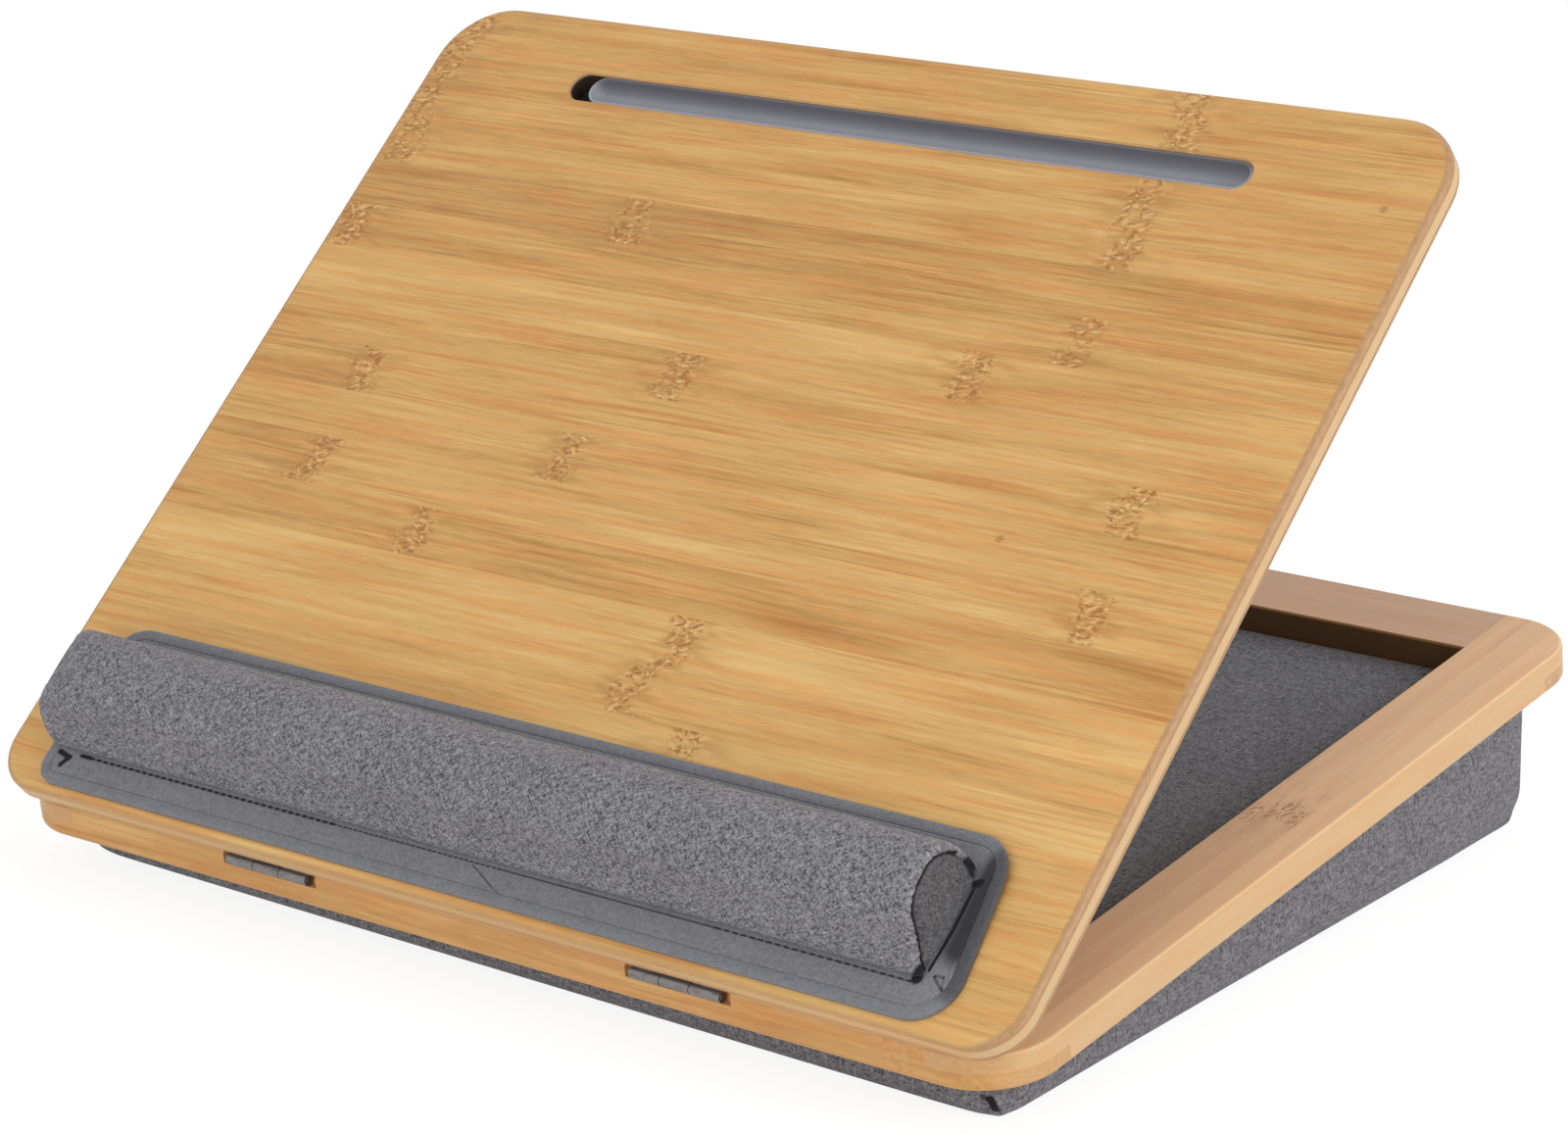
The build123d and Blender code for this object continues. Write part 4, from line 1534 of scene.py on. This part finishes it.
@dataclass
class WristRest:
    """The stuffed roll on its sewn pad along the lid's front edge.

    Places are in millimetres on the lid's top face: across from its middle, up from the hinge
    axis, and out.

    Attributes:
        sizes: The desk's sizes.
        left: The pad's left end.
        right: Its right end.
        front: Its front edge.
        back: Its back edge.
        corner_radii: Of the pad's corners, from the front left one round to the back left one.
        right_draw: How far the right edge is drawn in at its back end.
        right_rise: How far the back right corner stands up from the lid.
        tape_width: The edge tape's width.
        tape_height: Its height.
        tape_round: How round its upper edges are.
        pad_height: The pad's height under the roll.
        roll_left: The roll's left end.
        roll_right: Its right end.
        roll_front: Its front foot.
        roll_back: Its back foot.
        roll_height: Its height over the pad.
        roll_slack: How much smaller than its outline it is cut.
        rim_rounds: How round its left and right rims are.
        nose_round: How round its front is.
        heel_round: How round its back is.
        foot_round: How round its foot is.
        lean: How much further the right end reaches at its foot than at its crown.
        nose_flat: How much flatter the front is than round.
        bulge: How far the left end bulges.
        crown_draw: How far the left end falls back at its crown.
        long_lumps: How far the stuffing's long lumps go.
        short_lumps: How far its short ones go.
        seam_inset: How far the end panels' seams lie inside the roll's outline.
        seam_sink: How far the seams sink into the ends.
        panel_bow: How far an end panel bows out.
        voxel: The roll's mesh's cell.
        panel_voxel: The end panels' mesh's cell.
        pressure: How hard the roll is stuffed.
        swell: The furthest that the stuffing moves the cloth.
        cuts_across: Where the pad is divided from left to right, for its drawn-in end.
        cuts_along: Where it is divided from front to back.
        pad_edge: The height of the pad's edge.
        pad_steps: How far in and how far up each step from there goes, over the line of stitches.
    """

    sizes: DeskSizes
    left: float = -193.0
    right: float = 192.0
    front: float = 4.0
    back: float = 68.4
    corner_radii: tuple[float, float, float, float] = (8.0, 17.0, 14.0, 14.0)
    right_draw: float = 5.0
    right_rise: float = 2.0
    tape_width: float = 4.0
    tape_height: float = 2.3
    tape_round: float = 0.4
    pad_height: float = 2.2
    roll_left: float = -188.5
    roll_right: float = 177.5
    roll_front: float = 15.7
    roll_back: float = 58.5
    roll_height: float = 24.5
    roll_slack: float = 0.7
    rim_rounds: tuple[float, float] = (4.0, 2.6)
    nose_round: float = 24.4
    heel_round: float = 15.5
    foot_round: float = 0.8
    lean: float = 4.0
    nose_flat: float = 3.6
    bulge: float = 8.4
    crown_draw: float = 3.2
    long_lumps: float = 0.5
    short_lumps: float = 0.18
    seam_inset: float = 3.9
    seam_sink: float = 1.7
    panel_bow: float = 1.0
    voxel: float = 2.0
    panel_voxel: float = 0.9
    pressure: float = 3.0
    swell: float = 1.4
    cuts_across: tuple[int, ...] = (-100, 0, 100, 140, 160, 172, 180, 185)
    cuts_along: tuple[int, ...] = (20, 36, 52)
    pad_edge: float = 2.05
    pad_steps: tuple[tuple[float, float], ...] = (
        (0.4, 0.08), (1.3, 0.04), (0.5, -0.10), (0.5, 0.10), (0.6, 0.03),
    )

    def build(self) -> list[bpy.types.Object]:
        """Models the pad, its tape, the roll and its two end panels.

        Returns:
            The pieces.
        """
        return [self.tape(), self.pad(), self.roll(), self.end_panel(-1), self.end_panel(1)]

    def dressed(
        self, piece: Workpiece, slot: str, cloth: str, shade_marks: tuple[ShadeMark, ...], **look: object
    ) -> bpy.types.Object:
        """Sets a piece on the lid and dresses it in cloth.

        Args:
            piece: The piece, laid out on the lid's top face.
            slot: The record's material slot.
            cloth: The cloth's name.
            shade_marks: Its painted shade.
            look: The cloth's colours and other settings.

        Returns:
            The finished object.
        """
        lid = self.sizes.lid_top()
        piece.place(lid.matrix())
        return piece.dress(Heather(cloth, plane=lid, shade_marks=shade_marks, **look), "lid", slot)

    def outline(self, name: str, inset: float) -> Workpiece:
        """A flat sheet with the pad's rounded outline.

        Args:
            name: The piece's name.
            inset: How far inside the pad's edge it lies.

        Returns:
            The sheet.
        """
        low = (self.left + inset, self.front + inset, 0.02)
        high = (self.right - inset, self.back - inset, 0.02)
        piece = Workpiece(name, Stock.SHEET, low, high)
        corners = ((low[0], low[1]), (high[0], low[1]), (high[0], high[1]), (low[0], high[1]))
        for corner, radius in zip(corners, self.corner_radii):
            with piece.picked(
                Element.POINT, lambda v: (v.co.xy / MM - Vector(corner)).length < TOUCH
            ):
                bpy.ops.mesh.bevel(offset=(radius - inset) * MM, segments=10, affect="VERTICES")
        return piece

    def draw_in(self, piece: Workpiece) -> None:
        """Divides a flat piece, and draws its right end in.

        Args:
            piece: The piece, still flat.
        """
        cuts = [((x * MM, 0, 0), (1, 0, 0)) for x in self.cuts_across]
        cuts += [((0, y * MM, 0), (0, 1, 0)) for y in self.cuts_along]
        for place, way in cuts:
            with piece.picked(Element.FACE):
                bpy.ops.mesh.bisect(plane_co=place, plane_no=way)

        def drawn(place: Vector) -> Vector:
            """Draws a point in and lifts it, the more the nearer it is to the back right corner.

            Args:
                place: The point, in millimetres.

            Returns:
                Its new place.
            """
            up = (place.y - self.front) / (self.back - self.front)
            inward = self.right_draw * up * eased(place.x, self.right - 45.0, self.right)
            rightward = eased(place.x, self.right - 12.0, self.right)
            rise = self.right_rise * eased(up, 0.2, 0.9) * rightward
            return place + Vector((-inward, 0.0, rise))

        piece.shape(drawn)

    def tape(self) -> bpy.types.Object:
        """The tape sewn round the pad's edge.

        Returns:
            The tape.
        """
        piece = self.outline("rest_edge_tape", 0.0)
        with piece.picked(Element.FACE):
            bpy.ops.mesh.inset(thickness=self.tape_width * MM, use_even_offset=True)
            bpy.ops.mesh.delete(type="FACE")
        with piece.picked(Element.FACE):
            extrude_up(self.tape_height)
        with piece.picked(Element.FACE):
            bpy.ops.mesh.normals_make_consistent(inside=False)
        top = (self.tape_height - 0.1) * MM
        piece.round_off(self.tape_round, 2, lambda e: min(v.co.z for v in e.verts) > top)
        self.draw_in(piece)
        piece.lay_cloth(lambda place, normal: (place.x, place.y + place.z))
        made = self.dressed(
            piece, "rest_binding", "rest_tape", TAPE_SHADE, dark=(0.145, 0.147, 0.163),
            pale=(0.300, 0.303, 0.330), yarn=0.5, contrast=0.6, relief=0.05,
        )
        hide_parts("wrist_rest_binding")
        return made

    def pad(self) -> bpy.types.Object:
        """The thin foam pad inside the tape, stitched through near its edge.

        Returns:
            The pad.
        """
        piece = self.outline("rest_pad", self.tape_width + 0.02)
        with piece.picked(Element.FACE):
            extrude_up(self.pad_edge)
            for inset, rise in self.pad_steps:
                bpy.ops.mesh.inset(thickness=inset * MM, depth=rise * MM, use_even_offset=True)
        self.draw_in(piece)
        piece.lay_cloth(lambda place, normal: (place.x, place.y))
        made = self.dressed(
            piece, "rest_pad", "rest_pad_cloth", PAD_SHADE + SEAM_SHADE + END_SHADE,
            dark=(0.132, 0.132, 0.144), pale=(0.335, 0.332, 0.356), yarn=0.6, contrast=0.55,
            relief=0.08,
        )
        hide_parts("wrist_rest_base")
        return made

    def form(self, name: str, start: float, end: float, inset: float) -> Workpiece:
        """A length of the roll's D-shaped form.

        Args:
            name: The piece's name.
            start: Its left end.
            end: Its right end.
            inset: How much smaller than the roll it is, all round.

        Returns:
            The form.
        """
        foot = self.pad_height + 0.2
        low = (start, self.roll_front + inset, foot)
        high = (end, self.roll_back - inset, self.pad_height + self.roll_height - inset)
        piece = Workpiece(name, Stock.BOX, low, high)
        for y, radius in ((low[1], self.nose_round), (high[1], self.heel_round)):
            piece.round_off(radius - inset, 14, lambda e: self.on_line(e, y, high[2]))
        for y in (low[1], high[1]):
            piece.round_off(self.foot_round, 2, lambda e: self.on_line(e, y, foot))
        return piece

    @staticmethod
    def on_line(edge: bmesh.types.BMEdge, y: float, z: float) -> bool:
        """Whether an edge runs along the roll at a place and a height."""
        return all((point.co.yz / MM - Vector((y, z))).length < TOUCH for point in edge.verts)

    def roll(self) -> bpy.types.Object:
        """The stuffed roll.

        Returns:
            The roll.
        """
        start, end = self.roll_left - 0.4, self.roll_right - 0.6
        piece = self.form("rest_roll", start, end, self.roll_slack)
        foot = self.pad_height + 1.2

        def on_rim(edge: bmesh.types.BMEdge, rim: float) -> bool:
            """Whether an edge is on an end's curved rim, clear of the foot."""
            ends = [point.co / MM for point in edge.verts]
            return all(abs(p.x - rim) < TOUCH for p in ends) and max(p.z for p in ends) > foot

        for rim, radius in zip((start, end), self.rim_rounds):
            piece.round_off(radius, 4, lambda e: on_rim(e, rim))
        piece.remesh(self.voxel)

        def held(place: Vector) -> bool:
            """Whether a point is on the roll's foot or its end seams."""
            return place.z < foot or place.x < start + 1.0 or place.x > end - 3.0

        piece.inflate(self.pressure, self.swell, held)
        piece.smooth_out()

        def stuffed(place: Vector) -> Vector:
            """Sets the end panels' seams in, then shapes the ends and the stuffing.

            Args:
                place: A point, in millimetres.

            Returns:
                Its new place.
            """
            within = eased(self.depth_in(place), self.seam_inset - 0.8, self.seam_inset)
            for side, rim in ((-1, start), (1, end)):
                if side * (rim - place.x) < 1.2:
                    place = place - Vector((side * self.seam_sink * within, 0, 0))
            return self.ended(place) + self.unevenness(place, start, end)

        piece.shape(stuffed)
        piece.lay_cloth(lambda place, normal: self.wrap(place))
        made = self.dressed(
            piece, "rest_fabric", "rest_cloth", SEAM_SHADE + END_SHADE,
            dark=(0.060, 0.059, 0.066), pale=(0.402, 0.394, 0.428), contrast=1.12, turn=38.0,
        )
        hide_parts("wrist_rest_cover", "wrist_rest_foam")
        return made

    def depth_in(self, place: Vector) -> float:
        """Measures a point from the roll's curved outline, seen from its end.

        Args:
            place: The point, in millimetres.

        Returns:
            How far it lies inside the outline.
        """
        rise = max(place.z - self.pad_height, 0.0)
        nose = self.roll_front + self.nose_round
        heel = Vector((self.roll_back - self.heel_round, self.roll_height - self.heel_round))
        if place.y < nose:
            return self.nose_round - math.hypot(place.y - nose, rise)
        if place.y > heel.x and rise > heel.y:
            return self.heel_round - math.hypot(place.y - heel.x, rise - heel.y)
        return min(self.roll_back - place.y, self.roll_height - rise)

    def ended(self, place: Vector) -> Vector:
        """Flattens the front, leans the right end and bulges the left end.

        Args:
            place: A point, in millimetres.

        Returns:
            Its new place.
        """
        height = (place.z - self.pad_height) / self.roll_height
        right = eased(place.x, self.roll_right - 16.0, self.roll_right - 2.0)
        left = eased(-place.x, -self.roll_left - 18.0, -self.roll_left - 2.0)
        out = self.bulge * hump(height, 0.42, 0.60) - self.crown_draw * eased(height, 0.74, 1.04)
        ahead = eased(self.roll_front + self.nose_round - place.y, 0.0, 12.0)
        back = self.nose_flat * hump(height, 0.45, 0.45) * ahead
        return place + Vector((self.lean * (0.5 - height) * right - out * left, back, 0.0))

    def wrap(self, place: Vector) -> tuple[float, float]:
        """Wraps cloth round the roll.

        Args:
            place: A point, in millimetres.

        Returns:
            Its place along the roll and round it.
        """
        centre = (self.roll_front + self.roll_back) / 2
        turn = math.atan2(place.z - self.pad_height, centre - place.y)
        return place.x, turn * self.roll_height

    def unevenness(self, place: Vector, start: float, end: float) -> Vector:
        """The lumps of the stuffing, away from the foot.

        Args:
            place: A point, in millimetres.
            start: The roll's left end.
            end: Its right end.

        Returns:
            How far the point moves.
        """
        lift = eased(place.z, self.pad_height + 1.0, self.pad_height + 8.0)
        inner = eased(min(place.x - start, end - place.x), 0.0, 10.0)
        waves = ripple(Vector((place.x * 0.6, place.y, place.z)), 30.0, 2.0) * self.long_lumps
        waves += ripple(place, 11.0, 6.0) * self.short_lumps
        centre = Vector((place.x, (self.roll_front + self.roll_back) / 2, self.pad_height))
        return (place - centre).normalized() * waves * lift * (0.3 + 0.7 * inner)

    def end_panel(self, side: int) -> bpy.types.Object:
        """The D-shaped panel sewn into one end of the roll.

        Args:
            side: Minus one for the left end and one for the right end.

        Returns:
            The panel.
        """
        word = "left" if side < 0 else "right"
        outer = self.roll_left if side < 0 else self.roll_right - 1.0
        start, end = sorted((outer - side * 2.4, outer - side * 0.4))
        piece = self.form(f"rest_end_panel_{word}", start, end, self.seam_inset)
        piece.remesh(self.panel_voxel)
        piece.smooth_out()
        rim = self.seam_inset
        # Painted shade in the seam round the panel's rim.
        piece.crease(lambda place: 1.0 - eased(self.depth_in(place), rim + 0.1, rim + 1.1))

        def domed(place: Vector) -> Vector:
            """Bows the panel out in its middle, and leans it with the roll's end."""
            out = self.panel_bow * eased(self.depth_in(place), rim, rim + 7.0)
            return self.ended(place + Vector((side * out, 0.0, 0.0)))

        piece.shape(domed)
        piece.lay_cloth(lambda place, normal: (place.y, place.z))
        made = self.dressed(
            piece, "rest_fabric", "rest_end_cloth", END_SHADE, dark=(0.038, 0.038, 0.042),
            pale=(0.180, 0.177, 0.186), turn=40.0,
        )
        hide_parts(f"wrist_rest_cap_{word}")
        return made


# The lid's strips from the front to the back, and the right rail's from the tray outwards.
LID_STRIPS = (
    Strip(0.64, 0.62),
    Strip(0.62, 0.60),
    Strip(0.62, 0.60),
    Strip(0.58, 0.68, (50.0,)),
    Strip(0.62, 0.60, (21.0,)),
    Strip(0.72, 0.69, (29.0,)),
    Strip(0.44, 0.38, (-98.0,)),
    Strip(0.44, 0.60, (-158.0, 169.0)),
    Strip(0.56, 0.55, (-55.0,)),
    Strip(0.34, 0.55, (-160.0, 164.0)),
    Strip(0.50, 0.52, (-29.0,)),
    Strip(0.63, 0.53, (82.0,)),
    Strip(0.42, 0.42, (-206.0, 114.0)),
    Strip(0.24, 0.32, (-84.0,)),
    Strip(0.53, 0.51, (-204.0, 113.0)),
    Strip(0.50, 0.50, (-208.0, 113.0)),
    Strip(0.50, 0.50, (-206.0, 112.0)),
    Strip(0.50, 0.47, (-204.0, 112.0)),
    Strip(0.50, 0.50),
)
# Its two inner strips are darker in front of their nodes: painted shade where the open lid shades
# the rail's front part.
RIGHT_RAIL_STRIPS = (Strip(0.40, 0.66, (182.0,)), Strip(0.60, 0.80, (184.0,)), Strip(1.0, 1.0))
# The lid's pin knots.
PIN_KNOTS = ((124.3, 170.1), (197.8, 314.9))


@dataclass
class Woodwork:
    """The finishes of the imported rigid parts.

    Attributes:
        sizes: The desk's sizes.
    """

    sizes: DeskSizes

    def finishes(self) -> list[tuple[Finish, tuple[str, ...]]]:
        """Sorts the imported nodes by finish.

        Returns:
            Each finish with the nodes that wear it.
        """
        frame = self.sizes.frame_top()
        lid = self.sizes.lid_top()
        rail = dict(plane=frame, strip_width=60.0, inner=True)
        side = rail | dict(run=Run.UPWARD, batch=ROSY_BATCH, sides=YELLOW_BATCH, contrast=0.6)
        return [
            (
                Bamboo(
                    "lid_bamboo", plane=lid, strips=LID_STRIPS, strip_width=19.65,
                    first_edge=1.4, plies=(2.8, 6.4), dots=PIN_KNOTS,
                    slot=(0.0, 321.0, 145.0, 6.6), knots=1.2, seed=1.0,
                ),
                ("lid_panel",),
            ),
            (
                Bamboo(
                    "right_rail_bamboo", **side | dict(strip_width=11.0),
                    strips=RIGHT_RAIL_STRIPS, first_edge=180.0, knots=1.4, seed=5.0,
                ),
                ("rail_right",),
            ),
            (
                Bamboo(
                    "left_rail_bamboo", **side, strips=(Strip(0.60, 0.60, (210.0,)),),
                    first_edge=-230.0, seed=9.0,
                ),
                ("rail_left",),
            ),
            (
                Bamboo(
                    "front_rail_bamboo", **rail, batch=ROSY_BATCH, sides=GOLDEN_BATCH,
                    strips=(Strip(0.50, 0.50, (171.0,)),), first_edge=-10.0, contrast=0.8,
                    knots=0.35, seed=3.0,
                ),
                ("rail_front",),
            ),
            (
                Bamboo(
                    "back_rail_bamboo", **rail, batch=GREY_BATCH, sides=GOLDEN_BATCH,
                    strips=(Strip(0.50, 0.50, (-120.0,)),), first_edge=310.0, contrast=0.6,
                    seed=4.0,
                ),
                ("rail_back",),
            ),
            (
                Bamboo(
                    "floor_board", plane=frame, strips=(Strip(0.4, 0.4),) * 18,
                    strip_width=20.0, first_edge=-2.0, seed=7.0,
                ),
                ("tray_board",),
            ),
            (
                Steel("hinge_nickel"),
                (
                    "hinge_leaf_frame_left", "hinge_leaf_frame_right", "hinge_leaf_lid_left",
                    "hinge_leaf_lid_right", "hinge_pin_left", "hinge_pin_right",
                ),
            ),
            (
                Steel("screw_nickel", roughness=0.38),
                ("hinge_frame_screws", "hinge_lid_screws", "tray_board_screws"),
            ),
            (
                Moulding(
                    "slot_rubber", colour=(0.395, 0.398, 0.445), roughness=0.85, plane=lid,
                    shaded=(321.0, 326.0),
                ),
                ("slot_liner",),
            ),
            (Moulding("slot_backing_sheet", colour=(0.012, 0.012, 0.012)), ("slot_backing",)),
        ]

    def dress(self, nodes: dict[str, bpy.types.Object]) -> None:
        """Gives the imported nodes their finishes.

        Args:
            nodes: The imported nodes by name.
        """
        for finish, names in self.finishes():
            material = finish.material()
            for name in names:
                for material_slot in nodes[name].material_slots:
                    material_slot.link = "OBJECT"
                    material_slot.material = material
                LOG.info("%s wears %s", name, finish.name)


# ---- Studio ----------------------------------------------------------------------------------


@dataclass(frozen=True)
class Lamp:
    """A soft square lamp.

    Attributes:
        name: Its name.
        place: Where it hangs, in metres.
        size: Its width, in metres.
        power: Its power, in watts.
    """

    name: str
    place: tuple[float, float, float]
    size: float
    power: float


@dataclass
class Studio:
    """The floor, the lights and the camera.

    Attributes:
        aim: What the lamps point at, in metres.
        lamps: The lamps.
        sky: How strongly the sky lights the desk.
        floor_width: The floor's width, in metres.
        floor_drop: How far it lies under the desk, in metres.
        paper: The floor's own colour.
        glow: How bright the floor is where it glows.
        glow_share: How much of it glows for a ray that shows it.
        azimuth: The camera's turn about the desk, in degrees.
        elevation: Its rise over the desk, in degrees.
        roll: Its lean, in degrees.
        camera_place: Where it stands, in metres.
        focal_pixels: Its focal length, in pixels of the full picture.
        picture_width: The full picture's width, in pixels.
        sensor: Its sensor's width, in millimetres.
        reach: The nearest and the furthest that it sees, in metres.
    """

    aim: tuple[float, float, float] = (0.0, 0.0, 0.09)
    lamps: tuple[Lamp, ...] = (
        Lamp("front", (0.30, -2.20, 0.45), 1.2, 14.0),
        Lamp("side", (1.90, 0.10, 0.90), 1.0, 17.0),
        Lamp("top", (-0.40, 0.50, 2.20), 1.6, 3.0),
    )
    sky: float = 0.62
    floor_width: float = 30.0
    floor_drop: float = 0.0002
    paper: Rgb = (0.93, 0.93, 0.93)
    glow: float = 1.10
    glow_share: float = 0.80
    azimuth: float = 37.93
    elevation: float = 16.93
    roll: float = -1.00
    camera_place: tuple[float, float, float] = (0.9140, -1.1782, 0.5534)
    focal_pixels: float = 4615.0
    picture_width: float = 1600.0
    sensor: float = 36.0
    reach: tuple[float, float] = (0.05, 60.0)

    def build(self) -> None:
        """Sets the studio up."""
        self.floor()
        self.world()
        for lamp in self.lamps:
            self.hang(lamp)
        self.camera()
        bpy.context.scene.view_settings.view_transform = "Standard"

    def floor(self) -> None:
        """A wide pale floor that keeps a soft shadow."""
        clear_selection()
        place = (0, 0, -self.floor_drop)
        bpy.ops.mesh.primitive_plane_add(size=self.floor_width, location=place)
        floor = bpy.context.active_object
        floor.name = "floor"
        material = bpy.data.materials.new("pale_floor")
        material.use_nodes = True
        graph = Graph(material.node_tree)
        paper = graph.value(0, "ShaderNodeBsdfDiffuse", None, {"Color": self.paper})
        light = {"Color": (1.0, 1.0, 1.0), "Strength": self.glow}
        glow = graph.value(0, "ShaderNodeEmission", None, light)
        share = graph.looked_at() * self.glow_share
        mixed = graph.value(0, "ShaderNodeMixShader", None, {0: share, 1: paper, 2: glow})
        graph.node("ShaderNodeOutputMaterial", None, {"Surface": mixed})
        floor.data.materials.append(material)
        floor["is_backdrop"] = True

    def world(self) -> None:
        """A white sky, seen at full strength and lighting the desk softly."""
        world = bpy.data.worlds.new("studio_sky")
        world.use_nodes = True
        bpy.context.scene.world = world
        graph = Graph(world.node_tree)
        strength = graph.looked_at() * (1.0 - self.sky) + self.sky
        light = {"Color": (1.0, 1.0, 1.0), "Strength": strength}
        sky = graph.value(0, "ShaderNodeBackground", None, light)
        graph.node("ShaderNodeOutputWorld", None, {"Surface": sky})

    def hang(self, lamp: Lamp) -> None:
        """Hangs one lamp, turned to the desk.

        Args:
            lamp: The lamp.
        """
        data = bpy.data.lights.new(lamp.name, "AREA")
        data.shape = "SQUARE"
        data.size = lamp.size
        data.energy = lamp.power
        made = bpy.data.objects.new(lamp.name, data)
        made.location = lamp.place
        way = Vector(self.aim) - Vector(lamp.place)
        made.rotation_euler = way.to_track_quat("-Z", "Y").to_euler()
        bpy.context.scene.collection.objects.link(made)

    def camera(self) -> None:
        """Places the camera."""
        turn, rise, lean = (math.radians(a) for a in (self.azimuth, self.elevation, self.roll))
        back = Vector(
            (math.sin(turn) * math.cos(rise), -math.cos(turn) * math.cos(rise), math.sin(rise))
        )
        right = (-back).cross(Vector((0, 0, 1))).normalized()
        up = right.cross(-back)
        leaned_right = math.cos(lean) * right + math.sin(lean) * up
        leaned_up = math.cos(lean) * up - math.sin(lean) * right
        data = bpy.data.cameras.new("camera")
        data.sensor_width = self.sensor
        data.lens = self.focal_pixels / self.picture_width * self.sensor
        data.clip_start, data.clip_end = self.reach
        made = bpy.data.objects.new("camera", data)
        axes = Matrix((leaned_right, leaned_up, back)).transposed()
        made.matrix_world = Matrix.Translation(self.camera_place) @ axes.to_4x4()
        bpy.context.scene.collection.objects.link(made)
        bpy.context.scene.camera = made


def corners(bounds: tuple[Vector, Vector]) -> list[list[float]]:
    """A box's two corners as plain lists."""
    return [list(bounds[0]), list(bounds[1])]


def main() -> None:
    """Builds the dressed desk and its studio."""
    logging.basicConfig(level=logging.INFO, format="%(name)s %(message)s")
    for leftover in list(bpy.data.objects):
        bpy.data.objects.remove(leftover)
    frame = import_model()
    packed = corners(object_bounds())
    sizes = DeskSizes()
    Woodwork(sizes).dress(frame["nodes"])
    Cushion(sizes).build()
    TrayLining(sizes).build()
    WristRest(sizes).build()
    Studio().build()
    {"cad": packed, "visual": corners(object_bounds())}


if __name__ == "__main__":
    main()
